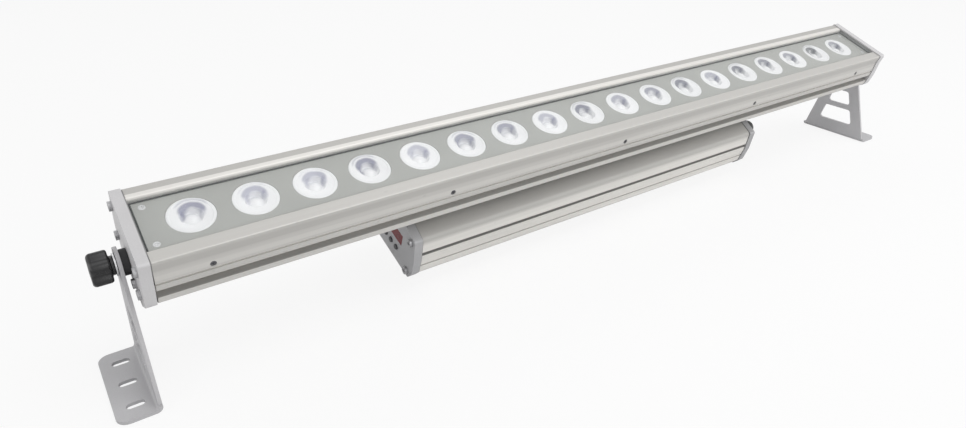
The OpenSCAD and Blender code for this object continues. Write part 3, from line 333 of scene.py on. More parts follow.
def drawn_metal(name, colour, metallic=0.75, rough=0.36, contrast=0.1, bands=()):
    """Extruded and anodised metal: fine lines along the length, faint clouds, small marks and, in
    the given strips, painted light and shade.
    """
    f = Finish(name)
    lines = f.noise(420, (0.012, 1, 1), 4, 0.62)
    wide = f.noise(60, (0.02, 1, 1), 2)
    clouds = f.noise(9)
    marks = f.noise(240, (0.5, 1, 1), 2).ramp(0.68, 0.74)
    tone = (lines * 0.5 + wide * 0.3 + clouds * 0.2).clamped()
    base = f.colours(
        tone,
        (
            (0.36, shade(colour, 1 - contrast)),
            (0.5, colour),
            (0.64, shade(colour, 1 + contrast)),
        ),
    )
    base = f.mix(marks * 0.25, base, shade(colour, 0.72))
    # painted light and shade: each strip of the level section mixes the colour with a darker or
    # lighter shade of it
    if bands:
        across, up = f.level()
        for band in bands:
            out = across if band.sides == "back" else across.size()
            strip = out.between(band.nearest, band.furthest, band.soft)
            strip = strip * up.between(band.bottom, band.top, band.soft)
            base = f.mix(strip * band.share, base, shade(colour, band.factor))
    return f.apply(
        Base_Color=base,
        Metallic=metallic,
        Roughness=(rough + (lines - 0.5) * 0.16 + (clouds - 0.5) * 0.12 + marks * 0.1).clamped(),
        Normal=f.bump(lines * 0.7 + wide * 0.3, 0.18, 0.0002),
    )


def coated_metal(name, colour, rough=0.5, contrast=0.06, metallic=0.0, peel=900):
    """Powder coat: a fine peel, a slight change of tone and a few dull rubbed places."""
    f = Finish(name)
    peel_noise = f.noise(peel, roughness=0.55)
    clouds = f.noise(22)
    rubbed = f.noise(70, detail=4, roughness=0.7).ramp(0.62, 0.72)
    base = f.colours(
        (peel_noise * 0.45 + clouds * 0.55).clamped(),
        (
            (0.35, shade(colour, 1 - contrast)),
            (0.5, colour),
            (0.65, shade(colour, 1 + contrast)),
        ),
    )
    base = f.mix(rubbed * 0.18, base, shade(colour, 0.82))
    return f.apply(
        Base_Color=base,
        Metallic=metallic,
        Roughness=(rough + (clouds - 0.5) * 0.14 + rubbed * 0.08).clamped(),
        Normal=f.bump(peel_noise, 0.25, 0.00025),
    )


def moulded_plastic(name, colour, rough=0.45, grain=1400, lift=1.5):
    """Moulded plastic or rubber: a fine spark grain, lighter where it is handled."""
    f = Finish(name)
    spark = f.noise(grain, detail=2, roughness=0.6)
    handled = f.noise(45).ramp(0.5, 0.75)
    base = f.mix(handled * 0.5, colour, shade(colour, lift))
    return f.apply(
        Base_Color=f.mix(spark * 0.3, base, shade(colour, 0.7)),
        Roughness=(rough + (spark - 0.5) * 0.2 - handled * 0.08).clamped(),
        Normal=f.bump(spark, 0.3, 0.0002),
    )


def plated_steel(name, colour, rough=0.3):
    """Plated fasteners: bright metal with fine turning marks and faint spots."""
    f = Finish(name)
    turned = f.noise(900, roughness=0.6)
    spots = f.noise(150).ramp(0.58, 0.7)
    base = f.mix(turned * 0.35, shade(colour, 1.08), shade(colour, 0.86))
    return f.apply(
        Base_Color=f.mix(spots * 0.4, base, shade(colour, 0.7)),
        Metallic=0.95,
        Roughness=(rough + (turned - 0.5) * 0.15 + spots * 0.15).clamped(),
        Normal=f.bump(turned, 0.15, 0.0002),
    )


def circuit(name, colour, copper):
    """A board: solder resist with fine tracks and pads under it."""
    f = Finish(name)
    tracks = f.bricks(90, 0.03, 1.7, 0.35, offset=0.37, every=3)
    pads = f.node(
        "ShaderNodeTexVoronoi",
        {"feature": "F1"},
        {"Vector": f.place(rotation=UNTILT), "Scale": 260.0, "Randomness": 0.6},
    )
    dots = 1 - pads.ramp(0.1, 0.16)
    weave = f.noise(500, detail=2)
    base = f.mix(tracks * 0.5, f.mix(weave * 0.5, colour, shade(colour, 0.8)), shade(colour, 1.5))
    return f.apply(
        Base_Color=f.mix(dots * 0.8, base, copper),
        Roughness=(0.3 + weave * 0.2).clamped(),
        Normal=f.bump(tracks * 0.5 + dots, 0.3, 0.0002),
    )


def clear_lens(name, colour, shadow, far_shadow, glow):
    """A glossy clear-white lens: an arch of painted violet to grey shade stands in its far half,
    and it has a faint painted glow.

    The UV map lens_face gives the place on the lens, and lens_painted_shade how strong its
    painted shade is and to which side it leans.
    """
    f = Finish(name)
    across, back, _ = f.parts(f.node("ShaderNodeUVMap", {"uv_map": "lens_face"}))
    painted_shade_depth, turn, _ = f.parts(f.node("ShaderNodeUVMap", {"uv_map": "lens_painted_shade"}))
    across = (across - 0.5) * 2 + (painted_shade_depth - 0.5) * 0.16
    back = (back - 0.5) * 2
    flow = f.noise(95)
    across = across + (flow - 0.5) * 0.1
    back = back + (flow - 0.5) * 0.14

    def blot(x, y, wide, high):
        """1 in the middle of an oval, falling softly to 0 at its edge."""
        dx = (across - x) / wide
        dy = (back - y) / high
        return 1 - ((dx * dx + dy * dy) ** 0.5).ramp(0.25, 1.0)

    # painted shade: the arch, a thinner one outside it, the well that it stands round, and its two
    # feet
    up = back - 0.2
    reach = (across * across + up * up) ** 0.5
    arch = reach.ramp(0.2, 0.36) * (1 - reach.ramp(0.5, 0.64)) * up.ramp(-0.12, 0.22)
    outer = reach.ramp(0.62, 0.68) * (1 - reach.ramp(0.7, 0.8)) * up.ramp(0.2, 0.5)
    well = (1 - reach.ramp(0.14, 0.36)) * up.ramp(-0.25, 0.3)
    ends = blot(-0.4, 0.12, 0.19, 0.3) * turn + blot(0.4, 0.14, 0.2, 0.3) * (1 - turn * 0.5)
    painted_shade = arch * (painted_shade_depth * 0.3 + turn * 0.3 + 0.5) + outer * 0.4 * turn
    painted_shade = (painted_shade + well * 0.26 + ends * (painted_shade_depth * 0.3 + 0.55)).clamped()
    fine = f.noise(600, detail=2)
    # the clear colour with a fine grain, and painted shade that grows darker towards the right end
    clear = f.mix((fine * 0.1 + painted_shade_depth * 0.6).clamped(), colour, shade(colour, 0.84))
    # a faint painted glow, white where there is no painted shade, fading with it and towards the
    # right end
    painted_glow_fade = (painted_shade + painted_shade_depth * 0.5).clamped()
    return f.apply(
        Base_Color=f.mix(painted_shade, clear, f.mix(painted_shade_depth, shadow, far_shadow)),
        Roughness=(0.14 + fine * 0.1).clamped(),
        IOR=1.49,
        Coat_Weight=0.4,
        Coat_Roughness=0.08,
        # the faint painted glow
        Emission_Color=f.mix(painted_glow_fade, (1.0, 1.0, 1.0), (0.0, 0.0, 0.0)),
        Emission_Strength=glow,
        Normal=f.bump(flow, 0.06, 0.001),
    )


def window_glass(name, colour, alpha):
    """Clear glass with faint smears along its length."""
    f = Finish(name)
    smear = f.noise(14, (0.3, 1, 1), 3)
    return f.apply(
        Base_Color=f.mix(smear * 0.4, colour, shade(colour, 0.92)),
        Roughness=(0.03 + smear * 0.05).clamped(),
        IOR=1.45,
        Alpha=(alpha + (smear - 0.5) * 0.05).clamped(),
    )


def lit_window(name, colour, dark):
    """A tinted display window with the faint bars of an unlit display behind it."""
    f = Finish(name)
    bars = f.bricks(150, 0.06, 0.9, 0.8)
    haze = f.noise(120, detail=2)
    return f.apply(
        Base_Color=f.mix((bars * 0.3 + haze * 0.3).clamped(), colour, dark),
        Roughness=(0.2 + haze * 0.12).clamped(),
        Specular_IOR_Level=0.3,
    )


def make_finishes(colours):
    """All the finishes of the lamp, from the panel's colours."""
    housing, driver = tuple(colours.housing), tuple(colours.driver)
    caps, driver_caps = tuple(colours.caps), tuple(colours.driver_caps)
    plate, brackets, knobs = tuple(colours.plate), tuple(colours.brackets), tuple(colours.knobs)
    lens_tones = (tuple(colours.lenses), tuple(colours.lens_shadow), tuple(colours.lens_far_shadow))
    return {
        "housing": drawn_metal("anodised_housing", housing, 0.45, 0.46, 0.08, HOUSING_PAINTED_SHADING),
        "driver": drawn_metal("anodised_driver_box", driver, 0.25, 0.62, 0.08, DRIVER_PAINTED_SHADE),
        "cap": coated_metal("coated_caps", caps, 0.42, 0.05, 0.15),
        "driver_cap": coated_metal("coated_driver_caps", driver_caps, 0.42, 0.06, 0.15),
        "plate": coated_metal("coated_face_plate", plate, 0.4, 0.05, 0.2, 1200),
        "bracket": coated_metal("coated_brackets", brackets, 0.45, 0.05, 0.1, 700),
        "sheet": drawn_metal("plain_sheet", (0.62, 0.62, 0.62), 0.9, 0.3, 0.08),
        "steel": plated_steel("plated_steel", (0.62, 0.62, 0.63)),
        "dull_steel": plated_steel("dull_steel", (0.42, 0.42, 0.43), 0.45),
        "dark_steel": plated_steel("blackened_steel", (0.16, 0.16, 0.17), 0.4),
        "brass": plated_steel("turned_brass", (0.75, 0.53, 0.22), 0.3),
        "knob": moulded_plastic("knob_plastic", knobs, 0.3),
        "rubber": moulded_plastic("seal_rubber", (0.035, 0.035, 0.037), 0.65, 900),
        "pale_rubber": moulded_plastic("pale_rubber", (0.3, 0.3, 0.3), 0.6, 900, 1.2),
        "nylon": moulded_plastic("gland_nylon", (0.05, 0.05, 0.052), 0.42),
        "button": moulded_plastic("button_rubber", (0.07, 0.07, 0.074), 0.55, 1100),
        "holder": moulded_plastic("holder_plastic", (0.82, 0.82, 0.82), 0.4),
        "emitter": moulded_plastic("emitter_silicone", (0.86, 0.74, 0.28), 0.3, 2000, 1.1),
        "terminal": moulded_plastic("terminal_plastic", (0.05, 0.25, 0.1), 0.4),
        "light_board": circuit("light_board", (0.82, 0.82, 0.8), (0.75, 0.62, 0.35)),
        "green_board": circuit("green_board", (0.03, 0.2, 0.09), (0.7, 0.66, 0.5)),
        "lens": clear_lens("clear_lens", *lens_tones, glow=0.1),
        "glass": window_glass("cover_glass", (0.9, 0.95, 0.94), 0.07),
        "display": lit_window("display_window", (0.22, 0.008, 0.014), (0.06, 0.004, 0.006)),
        "display_dark": moulded_plastic("display_block", (0.1, 0.02, 0.02), 0.35),
    }


FINISHES = {}


def finish_of(key):
    """One of the finishes; all of them are made when the first is asked for."""
    if not FINISHES:
        FINISHES.update(make_finishes(bpy.context.scene.washer_colours))
    return FINISHES[key]


# Shapes


def mesh_of(bm, name):
    """Turns a bmesh into a mesh and frees it."""
    mesh = bpy.data.meshes.new(name)
    bm.to_mesh(mesh)
    bm.free()
    return mesh


def finished(name, mesh, body, finish, replaced=()):
    """Links a mesh as a piece of a body and gives it its finish."""
    piece = bpy.data.objects.new(name, mesh)
    bpy.context.scene.collection.objects.link(piece)
    mesh.materials.clear()
    mesh.materials.append(finish_of(finish))
    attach(piece, body)
    if replaced:
        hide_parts(*replaced)
    return piece


def soft_edges(mesh, angle=50):
    """Smooth shading that stays crisp at sharp edges."""
    for polygon in mesh.polygons:
        polygon.use_smooth = True
    mesh.set_sharp_from_angle(angle=math.radians(angle))


def even_normals(piece):
    """Keeps the shading of the flat faces flat beside their eased edges."""
    weighted = piece.modifiers.new("even_normals", "WEIGHTED_NORMAL")
    weighted.keep_sharp = True
    return piece


def bevelled(bm, edges, width, segments):
    """Rounds edges by a width in mm."""
    bmesh.ops.bevel(
        bm,
        geom=edges,
        offset=width * MM,
        offset_type="OFFSET",
        segments=segments,
        profile=0.5,
        affect="EDGES",
        clamp_overlap=True,
        material=-1,
    )


def is_sharp(edge):
    return len(edge.link_faces) == 2 and edge.calc_face_angle() > SHARP_ANGLE


def eased_copy(node, name, body, finish, edge, segments=3, rounder=None, round_edge=0):
    """A copy of a solid with its sharp edges eased, as sawn, cast or folded metal has them.

    rounder picks edges by their two ends in the level lamp, in mm; they are rounded by round_edge.
    """
    bm = bmesh.new()
    bm.from_mesh(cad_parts[node].data)
    bmesh.ops.remove_doubles(bm, verts=bm.verts, dist=WELD)
    bmesh.ops.dissolve_limit(
        bm,
        angle_limit=FLAT_ANGLE,
        use_dissolve_boundaries=False,
        verts=bm.verts,
        edges=bm.edges,
        delimit=set(),
    )
    if rounder:
        level = LEVEL.inverted()
        picked = [e for e in bm.edges if rounder(*(level @ v.co for v in e.verts))]
        if not picked:
            raise RuntimeError(f"{node} has no edge to round")
        bevelled(bm, picked, round_edge, segments=5)
    bevelled(bm, [e for e in bm.edges if is_sharp(e)], edge, segments)
    mesh = mesh_of(bm, name)
    soft_edges(mesh)
    return even_normals(finished(name, mesh, body, finish, (node,)))


def on_inner_rim(a, b):
    """Whether an edge runs along a rim's top, beside the window."""
    low, high = RIM_EDGE_HEIGHTS
    near, far = RIM_EDGE_SIDES
    return abs(a.x - b.x) > RIM_EDGE_LENGTH and all(
        low < v.z < high and near < abs(v.y) < far for v in (a, b)
    )


def spun(profile, steps=48, weld=1e-4):
    """A bmesh turned about Z from a list of (radius, height) points, welded where it meets."""
    bm = bmesh.new()
    points = [bm.verts.new((r, 0, h)) for r, h in profile]
    edges = [bm.edges.new(pair) for pair in zip(points, points[1:])]
    bmesh.ops.spin(
        bm,
        geom=points + edges,
        cent=(0, 0, 0),
        axis=(0, 0, 1),
        dvec=(0, 0, 0),
        angle=math.tau,
        steps=steps,
        use_merge=True,
        use_duplicate=False,
    )
    bmesh.ops.remove_doubles(bm, verts=bm.verts, dist=weld)
    bmesh.ops.recalc_face_normals(bm, faces=bm.faces)
    return bm


def lens_profile(depth):
    """The section of a lens whose recess, with a crowned floor, has this depth."""
    floor = [
        (r, -depth + RECESS_CROWN * (1 - (r / RECESS_R) ** 2))
        for r in (0, 1.6, 3.2, 4.8, 6.0, RECESS_R)
    ]
    wall = [(7.4, -depth), (8.2, -depth + 1.0), (8.8, -2.6), (9.4, -1.7)]
    return floor + wall + LENS_DISH + LENS_RIM + LENS_CONE + LENS_WELL


def lens_painted_shade(k):
    """How strong the painted shade in lens k is, growing towards the right end, and to which side
    it leans, both from 0 to 1.
    """
    depth = 0.14 + 0.72 * k / (LENS_COUNT - 1) + 0.14 * math.sin(2.4 * k + 1)
    return depth, 0.5 + 0.45 * math.sin(3.9 * k + 2)


def lens_place(k):
    """The place of lens k in the row, each turned a little differently in its hole."""
    turn = math.radians(37 * k % 23 - 11)
    move = Matrix.Translation(((k - (LENS_COUNT - 1) / 2) * LENS_PITCH, 0, 0))
    return LEVEL @ move @ Matrix.Rotation(turn, 4, "Z")


def quarter(steps):
    """Angles of a quarter turn, from 0."""
    return [math.pi / 2 * k / steps for k in range(steps + 1)]


def knob_rings(length, radius, rounding):
    """The rings of a knob, from the end of its bore, round its hub and head, to its dish.

    Each is (height over the seat, radius, share that it is drawn in between the lobes).
    """
    head = length - KNOB_HEAD
    bore = [(head + KNOB_HEAD * KNOB_BORE_SHARE, KNOB_BORE, 0), (0, KNOB_BORE, 0)]
    hub = [(0, KNOB_HUB - 0.5, 0), (0.5, KNOB_HUB, 0), (head - 0.8, KNOB_HUB, 0)]
    back = [(head, KNOB_HUB + 1, 0)]
    for a in quarter(4):
        up = head + KNOB_BACK_ROUND * (1 - math.cos(a))
        back.append((up, radius - KNOB_BACK_ROUND * (1 - math.sin(a)), KNOB_LOBES_IN))
    front = []
    for a in quarter(6):
        up = length - rounding * (1 - math.sin(a))
        front.append((up, radius - rounding * (1 - math.cos(a)), KNOB_LOBES_IN))
    dish = [(length, 6.4, 0), (length - 0.4, 5.7, 0), (length - 1.0, 4.8, 0)]
    return bore + hub + back + front + dish


def shape_ring(loop, ring):
    """Puts a ring of the knob at its height, with its radius drawn in between the lobes."""
    height, radius, drawn_in = ring
    for vert in loop:
        angle = math.atan2(vert.co.y, vert.co.x)
        reach = radius * (1 - drawn_in * (1 - math.cos(KNOB_LOBES * angle)) / 2)
        vert.co = (reach * math.cos(angle), reach * math.sin(angle), height)


def lofted(rings):
    """A closed bmesh: a circle extruded from each ring to the next."""
    bm = bmesh.new()
    bmesh.ops.create_circle(bm, cap_ends=True, radius=1, segments=KNOB_STEPS)
    for face in bm.faces[:]:
        face.normal_flip()
    edges = bm.edges[:]
    shape_ring(bm.verts[:], rings[0])
    for ring in rings[1:]:
        made = bmesh.ops.extrude_edge_only(bm, edges=edges)["geom"]
        edges = [part for part in made if isinstance(part, bmesh.types.BMEdge)]
        shape_ring([part for part in made if isinstance(part, bmesh.types.BMVert)], ring)
    bmesh.ops.contextual_create(bm, geom=edges)
    return bm


# Stage


def make_floor(scene):
    """A pale floor that looks almost white to the camera and keeps the lamp's shadow."""
    bm = bmesh.new()
    bmesh.ops.create_grid(bm, x_segments=2, y_segments=2, size=FLOOR_HALF)
    mesh = mesh_of(bm, "floor")
    floor = bpy.data.objects.new("floor", mesh)
    scene.collection.objects.link(floor)
    f = Finish("pale_floor")
    colour = tuple(scene.washer_colours.floor)
    tone = f.mix(f.noise(3, detail=2) * 0.3, colour, shade(colour, 0.985))
    f.apply(Base_Color=tone, Roughness=0.9, Specular_IOR_Level=0.1)
    seen = f.node("ShaderNodeLightPath", out="Is Camera Ray")
    white = f.node("ShaderNodeEmission", values={"Color": (1, 1, 1, 1), "Strength": 1.0})
    plain = Value(f, f.shader.outputs[0])
    blend = f.node(
        "ShaderNodeMixShader", values={0: seen * FLOOR_WHITENESS, 1: plain, 2: white}
    )
    f.feed(f.output.inputs[0], blend)
    mesh.materials.append(f.material)


def make_world(scene):
    """Soft light from all sides, which the camera, metal and glass see as white."""
    world = bpy.data.worlds.new("studio")
    scene.world = world
    world.use_nodes = True
    nodes = Nodes(world.node_tree)
    seen = nodes.node("ShaderNodeLightPath", out="Is Camera Ray")
    for ray in ("Is Glossy Ray", "Is Transmission Ray"):
        seen = seen.most(nodes.node("ShaderNodeLightPath", out=ray))
    background = world.node_tree.nodes["Background"]
    nodes.feed(background.inputs["Color"], (1, 1, 1, 1))
    nodes.feed(background.inputs["Strength"], WORLD_LIGHT + seen * (1 - WORLD_LIGHT))


def area_light(scene, name, place, target, size, power):
    """A soft rectangular light that faces its target."""
    data = bpy.data.lights.new(name, "AREA")
    data.shape = "RECTANGLE"
    data.size, data.size_y = size
    data.energy = power
    light = bpy.data.objects.new(name, data)
    light.location = place
    light.rotation_euler = (Vector(target) - Vector(place)).to_track_quat("-Z", "Y").to_euler()
    scene.collection.objects.link(light)


def make_camera(scene):
    """The camera, turned so that it looks ahead with its right side along the given line."""
    data = bpy.data.cameras.new("camera")
    data.sensor_width = 36
    data.lens = CAMERA_LENS
    data.shift_y = CAMERA_SHIFT
    data.clip_start = 0.01
    camera = bpy.data.objects.new("camera", data)
    right = Vector(CAMERA_RIGHT).normalized()
    ahead = Vector(CAMERA_AHEAD).normalized()
    up = right.cross(ahead).normalized()
    turned = Matrix((right, up, -ahead)).transposed().to_4x4()
    camera.matrix_world = Matrix.Translation(CAMERA_PLACE) @ turned
    scene.collection.objects.link(camera)
    scene.camera = camera


# Properties


class Colours(bpy.types.PropertyGroup):
    """Colours of the outer finishes."""

    housing: bpy.props.FloatVectorProperty(
        name="Housing",
        description="Colour of the anodised lamp housing",
        subtype="COLOR",
        default=(0.573, 0.561, 0.538),
    )
    driver: bpy.props.FloatVectorProperty(
        name="Driver box",
        description="Colour of the anodised driver box",
        subtype="COLOR",
        default=(0.735, 0.721, 0.69),
    )
    caps: bpy.props.FloatVectorProperty(
        name="End caps",
        description="Colour of the lamp's end caps",
        subtype="COLOR",
        default=(0.61, 0.602, 0.61),
    )
    driver_caps: bpy.props.FloatVectorProperty(
        name="Driver caps",
        description="Colour of the driver box's end caps",
        subtype="COLOR",
        default=(0.4, 0.4, 0.41),
    )
    plate: bpy.props.FloatVectorProperty(
        name="Face plate",
        description="Colour of the face plate",
        subtype="COLOR",
        default=(0.397, 0.399, 0.379),
    )
    brackets: bpy.props.FloatVectorProperty(
        name="Brackets",
        description="Colour of the brackets",
        subtype="COLOR",
        default=(0.51, 0.506, 0.518),
    )
    knobs: bpy.props.FloatVectorProperty(
        name="Knobs",
        description="Colour of the knobs",
        subtype="COLOR",
        default=(0.009, 0.009, 0.01),
    )
    lenses: bpy.props.FloatVectorProperty(
        name="Lenses",
        description="Colour of the lenses",
        subtype="COLOR",
        default=(0.89, 0.89, 0.905),
    )
    # the colours of the painted shade in the lenses, violet at the left end and grey at the right
    lens_shadow: bpy.props.FloatVectorProperty(
        name="Lens shadow",
        description="Colour of the shade in the lenses at the left end",
        subtype="COLOR",
        default=(0.27, 0.27, 0.43),
    )
    lens_far_shadow: bpy.props.FloatVectorProperty(
        name="Lens far shadow",
        description="Colour of the shade in the lenses at the right end",
        subtype="COLOR",
        default=(0.12, 0.125, 0.135),
    )
    floor: bpy.props.FloatVectorProperty(
        name="Floor",
        description="Colour of the floor",
        subtype="COLOR",
        default=(0.92, 0.92, 0.92),
    )


class Sizes(bpy.types.PropertyGroup):
    """Sizes of the small forms that only the dressed lamp has."""

    drawn_edge: bpy.props.FloatProperty(
        name="Extrusion edge",
        description="Rounding of the drawn profiles' edges",
        subtype="DISTANCE",
        default=0.35 * MM,
        min=0.05 * MM,
        max=0.8 * MM,
    )
    cast_edge: bpy.props.FloatProperty(
        name="Cap edge",
        description="Rounding of the end caps' edges",
        subtype="DISTANCE",
        default=0.7 * MM,
        min=0.1 * MM,
        max=1.2 * MM,
    )
    sheet_edge: bpy.props.FloatProperty(
        name="Sheet edge",
        description="Rounding of the sheet metal's edges",
        subtype="DISTANCE",
        default=0.4 * MM,
        min=0.05 * MM,
        max=1.0 * MM,
    )
    knob_round: bpy.props.FloatProperty(
        name="Knob rounding",
        description="Rounding of the knobs' outer rims",
        subtype="DISTANCE",
        default=3.2 * MM,
        min=0.5 * MM,
        max=4.0 * MM,
    )
    rim_round: bpy.props.FloatProperty(
        name="Rim rounding",
        description="Rounding of the inner edges of the housing's rims",
        subtype="DISTANCE",
        default=2.6 * MM,
        min=0.2 * MM,
        max=3.2 * MM,
    )
    lens_recess: bpy.props.FloatProperty(
        name="Lens recess",
        description="Depth of the recess in a lens",
        subtype="DISTANCE",
        default=6.0 * MM,
        min=1.0 * MM,
        max=8.0 * MM,
    )


# Operators


class WASHER_OT_stage(bpy.types.Operator):
    """Make the floor, the light and the camera"""

    bl_idname = "washer.stage"
    bl_label = "Stage"

    def execute(self, context):
        scene = context.scene
        make_floor(scene)
        make_world(scene)
        for light in LIGHTS:
            area_light(scene, *light)
        make_camera(scene)
        scene.view_settings.view_transform = "Standard"
        return {"FINISHED"}


class WASHER_OT_extrusions(bpy.types.Operator):
    """Ease the edges of the lamp housing and of the driver box"""

    bl_idname = "washer.extrusions"
    bl_label = "Extrusions"

    def execute(self, context):
        edge = context.scene.washer_sizes.drawn_edge / MM
        eased_copy(
            "lamp_housing",
            "lamp_extrusion",
            "lamp",
            "housing",
            edge,
            rounder=on_inner_rim,
            round_edge=context.scene.washer_sizes.rim_round / MM,
        )
        eased_copy("driver_housing", "driver_extrusion", "lamp", "driver", edge)
        return {"FINISHED"}


class WASHER_OT_end_caps(bpy.types.Operator):
    """Ease the edges of the four end caps"""

    bl_idname = "washer.end_caps"
    bl_label = "End caps"

    def execute(self, context):
        edge = context.scene.washer_sizes.cast_edge / MM
        for end in ("left", "right"):
            for cap, piece, finish in (
                ("lamp_cap", "lamp_end", "cap"),
                ("driver_cap", "driver_end", "driver_cap"),
            ):
                eased_copy(f"{cap}_{end}", f"{piece}_{end}", "lamp", finish, edge)
        return {"FINISHED"}


class WASHER_OT_face_plate(bpy.types.Operator):
    """Ease the punched holes of the face plate"""

    bl_idname = "washer.face_plate"
    bl_label = "Face plate"

    def execute(self, context):
        edge = context.scene.washer_sizes.sheet_edge / MM
        eased_copy("face_plate", "punched_face_plate", "lamp", "plate", edge)
        return {"FINISHED"}


class WASHER_OT_lenses(bpy.types.Operator):
    """Turn the row of lenses, each with a rim, a shallow dish and a recess"""

    bl_idname = "washer.lenses"
    bl_label = "Lenses"

    def execute(self, context):
        one = spun(lens_profile(context.scene.washer_sizes.lens_recess / MM))
        places = one.loops.layers.uv.new("lens_face")
        one.loops.layers.uv.new("lens_painted_shade")
        for face in one.faces:
            for loop in face.loops:
                point = loop.vert.co
                loop[places].uv = (0.5 + point.x / LENS_R / 2, 0.5 + point.y / LENS_R / 2)
        single = mesh_of(one, "lens")
        row = bmesh.new()
        for k in range(LENS_COUNT):
            first_vert, first_face = len(row.verts), len(row.faces)
            row.from_mesh(single)
            row.verts.ensure_lookup_table()
            row.faces.ensure_lookup_table()
            # how strong the painted shade of this lens is, and where it leans
            painted_shade_uvs = row.loops.layers.uv["lens_painted_shade"]
            for face in row.faces[first_face:]:
                for loop in face.loops:
                    loop[painted_shade_uvs].uv = lens_painted_shade(k)
            bmesh.ops.transform(row, matrix=lens_place(k), verts=row.verts[first_vert:])
        mesh = mesh_of(row, "lens_row")
        bpy.data.meshes.remove(single)
        soft_edges(mesh, angle=40)
        finished("lens_row", mesh, "lamp", "lens", ("lenses",))
        return {"FINISHED"}


class WASHER_OT_glass(bpy.types.Operator):
    """Put the cover glass over the lenses"""

    bl_idname = "washer.glass"
    bl_label = "Cover glass"

    def execute(self, context):
        eased_copy("front_glass", "cover_glass", "lamp", "glass", edge=0.3, segments=2)
        return {"FINISHED"}


class WASHER_OT_brackets(bpy.types.Operator):
    """Ease the edges of the two folded brackets"""

    bl_idname = "washer.brackets"
    bl_label = "Brackets"

    def execute(self, context):
        edge = context.scene.washer_sizes.sheet_edge / MM
        for body in ("bracket_left", "bracket_right"):
            eased_copy(body, f"folded_{body}", body, "bracket", edge)
        return {"FINISHED"}


class WASHER_OT_knobs(bpy.types.Operator):
    """Loft the two lobed knobs, each with its hub, rounded rims and a dish in its face"""

    bl_idname = "washer.knobs"
    bl_label = "Knobs"

    def execute(self, context):
        rounding = context.scene.washer_sizes.knob_round / MM
        for knob, side in (("knob_left", -1), ("knob_right", 1)):
            low, high = (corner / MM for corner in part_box(knob))
            seat = low.x if side > 0 else high.x
            bm = lofted(knob_rings(high.x - low.x, (high.z - low.z) / 2, rounding))
            bmesh.ops.transform(
                bm,
                matrix=Matrix.Translation((seat * MM, 0, PIVOT_HEIGHT * MM))
                @ Matrix.Rotation(side * math.pi / 2, 4, "Y")
                @ Matrix.Scale(MM, 4),
                verts=bm.verts,
            )
            bmesh.ops.recalc_face_normals(bm, faces=bm.faces)
            mesh = mesh_of(bm, "knob")
            soft_edges(mesh, angle=42)
            finished(f"lobed_{knob}", mesh, knob, "knob", (knob,))
        return {"FINISHED"}


SMALL_PIECES = (
    # node, piece, body, slot, finish, edge rounding in mm
    ("cap_screws_left", "cap_screw_set_left", "lamp", "screw_steel", "dull_steel", 0.4),
    ("cap_screws_right", "cap_screw_set_right", "lamp", "screw_steel", "dull_steel", 0.4),
    ("driver_cap_screws", "driver_screw_set", "lamp", "screw_steel", "dull_steel", 0.4),
    ("face_plate_screws", "plate_screw_set", "lamp", "screw_steel", "steel", 0.15),
    ("side_screws", "side_screw_set", "lamp", "screw_steel", "dark_steel", 0.2),
    ("small_screws", "small_screw_set", "lamp", "screw_steel", "steel", 0.2),
    ("grip_washer_left", "rubber_washer_left", "lamp", "seal_rubber", "rubber", 0.6),
    ("grip_washer_right", "rubber_washer_right", "lamp", "seal_rubber", "rubber", 0.6),
    ("steel_washer_left", "flat_washer_left", "knob_left", "screw_steel", "steel", 0.2),
    ("steel_washer_right", "flat_washer_right", "knob_right", "screw_steel", "steel", 0.2),
    ("power_glands", "power_gland_bodies", "lamp", "gland_nylon", "nylon", 0.5),
    ("power_gland_nuts", "power_gland_caps", "lamp", "gland_nylon", "nylon", 0.6),
    ("data_glands", "data_gland_bodies", "lamp", "gland_nylon", "nylon", 0.5),
    ("data_gland_nuts", "data_gland_caps", "lamp", "gland_nylon", "nylon", 0.6),
    ("vent_plug", "vent_cap", "lamp", "gland_nylon", "nylon", 0.7),
    ("hanger_left", "spacer_left", "lamp", "bracket_paint", "bracket", 0.5),
    ("hanger_right", "spacer_right", "lamp", "bracket_paint", "bracket", 0.5),
    ("button_menu", "menu_button", "button_menu", "button_rubber", "button", 0.4),
    ("button_down", "down_button", "button_down", "button_rubber", "button", 0.4),
    ("button_up", "up_button", "button_up", "button_rubber", "button", 0.4),
    ("button_enter", "enter_button", "button_enter", "button_rubber", "button", 0.4),
)


class WASHER_OT_small_pieces(bpy.types.Operator):
    """Ease the edges of the screws, washers, glands, spacers and buttons"""

    bl_idname = "washer.small_pieces"
    bl_label = "Small pieces"

    def execute(self, context):
        for node, name, body, slot, finish, edge in SMALL_PIECES:
            eased_copy(node, name, body, finish, edge, segments=2)
        return {"FINISHED"}


NODE_FINISHES = {
    "cap_gasket_left": "pale_rubber",
    "cap_gasket_right": "pale_rubber",
    "driver_gasket_left": "pale_rubber",
    "driver_gasket_right": "pale_rubber",
    "glass_seal": "rubber",
    "plate_posts": "sheet",
    "lens_holders": "holder",
    "led_emitters": "emitter",
    "led_board_left": "light_board",
    "led_board_middle": "light_board",
    "led_board_right": "light_board",
    "led_tray": "sheet",
    "pivot_insert_left": "brass",
    "pivot_insert_right": "brass",
    "hanger_screws": "steel",
    "power_supply": "sheet",
    "control_board": "green_board",
    "terminal_block": "terminal",
    "board_standoffs": "brass",
    "display_window": "display",
    "display_module": "display_dark",
    "display_board": "green_board",
    "link_conduit": "nylon",
    "conduit_nut": "steel",
    "knob_stud_left": "steel",
    "knob_stud_right": "steel",
}


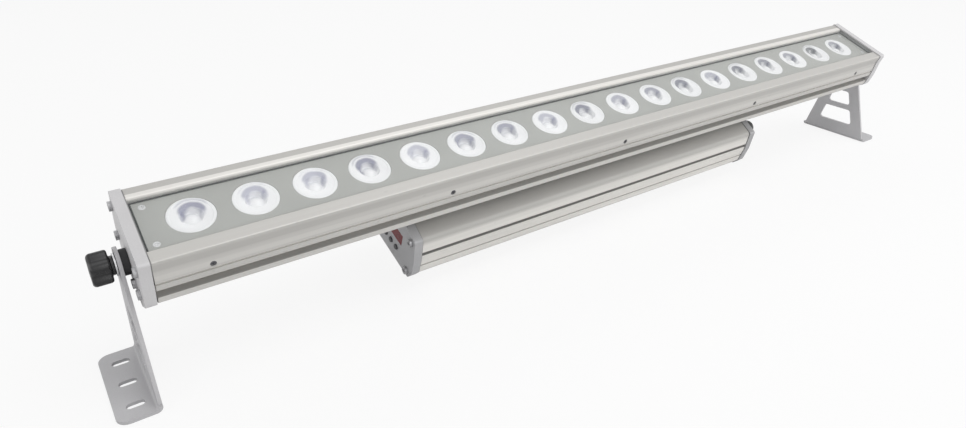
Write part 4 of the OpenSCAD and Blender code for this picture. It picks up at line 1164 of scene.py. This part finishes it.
class WASHER_OT_node_finishes(bpy.types.Operator):
    """Give the solids that stay as they are their finishes"""

    bl_idname = "washer.node_finishes"
    bl_label = "Finishes of the other parts"

    def execute(self, context):
        for node, finish in NODE_FINISHES.items():
            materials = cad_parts[node].data.materials
            materials.clear()
            materials.append(finish_of(finish))
        return {"FINISHED"}


OPERATORS = (
    WASHER_OT_stage,
    WASHER_OT_extrusions,
    WASHER_OT_end_caps,
    WASHER_OT_face_plate,
    WASHER_OT_lenses,
    WASHER_OT_glass,
    WASHER_OT_brackets,
    WASHER_OT_knobs,
    WASHER_OT_small_pieces,
    WASHER_OT_node_finishes,
)


class WASHER_PT_panel(bpy.types.Panel):
    """The lamp's pieces, sizes and colours"""

    bl_idname = "WASHER_PT_panel"
    bl_label = "Wall washer"
    bl_space_type = "VIEW_3D"
    bl_region_type = "UI"
    bl_category = "Wall washer"

    def draw(self, context):
        layout = self.layout
        for group in (context.scene.washer_sizes, context.scene.washer_colours):
            box = layout.box()
            for key in group.bl_rna.properties.keys():
                if key not in ("rna_type", "name"):
                    box.prop(group, key)
        for operator in OPERATORS:
            layout.operator(operator.bl_idname)


CLASSES = (Colours, Sizes, *OPERATORS, WASHER_PT_panel)


def register():
    for cls in CLASSES:
        bpy.utils.register_class(cls)
    bpy.types.Scene.washer_colours = bpy.props.PointerProperty(type=Colours)
    bpy.types.Scene.washer_sizes = bpy.props.PointerProperty(type=Sizes)


def unregister():
    del bpy.types.Scene.washer_sizes
    del bpy.types.Scene.washer_colours
    for cls in reversed(CLASSES):
        bpy.utils.unregister_class(cls)


def main():
    """Dresses the lamp."""
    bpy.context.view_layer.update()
    register()
    bpy.ops.washer.stage()
    bpy.ops.washer.extrusions()
    bpy.ops.washer.end_caps()
    bpy.ops.washer.face_plate()
    bpy.ops.washer.lenses()
    bpy.ops.washer.glass()
    bpy.ops.washer.brackets()
    bpy.ops.washer.knobs()
    bpy.ops.washer.small_pieces()
    bpy.ops.washer.node_finishes()


if __name__ == "__main__":
    main()
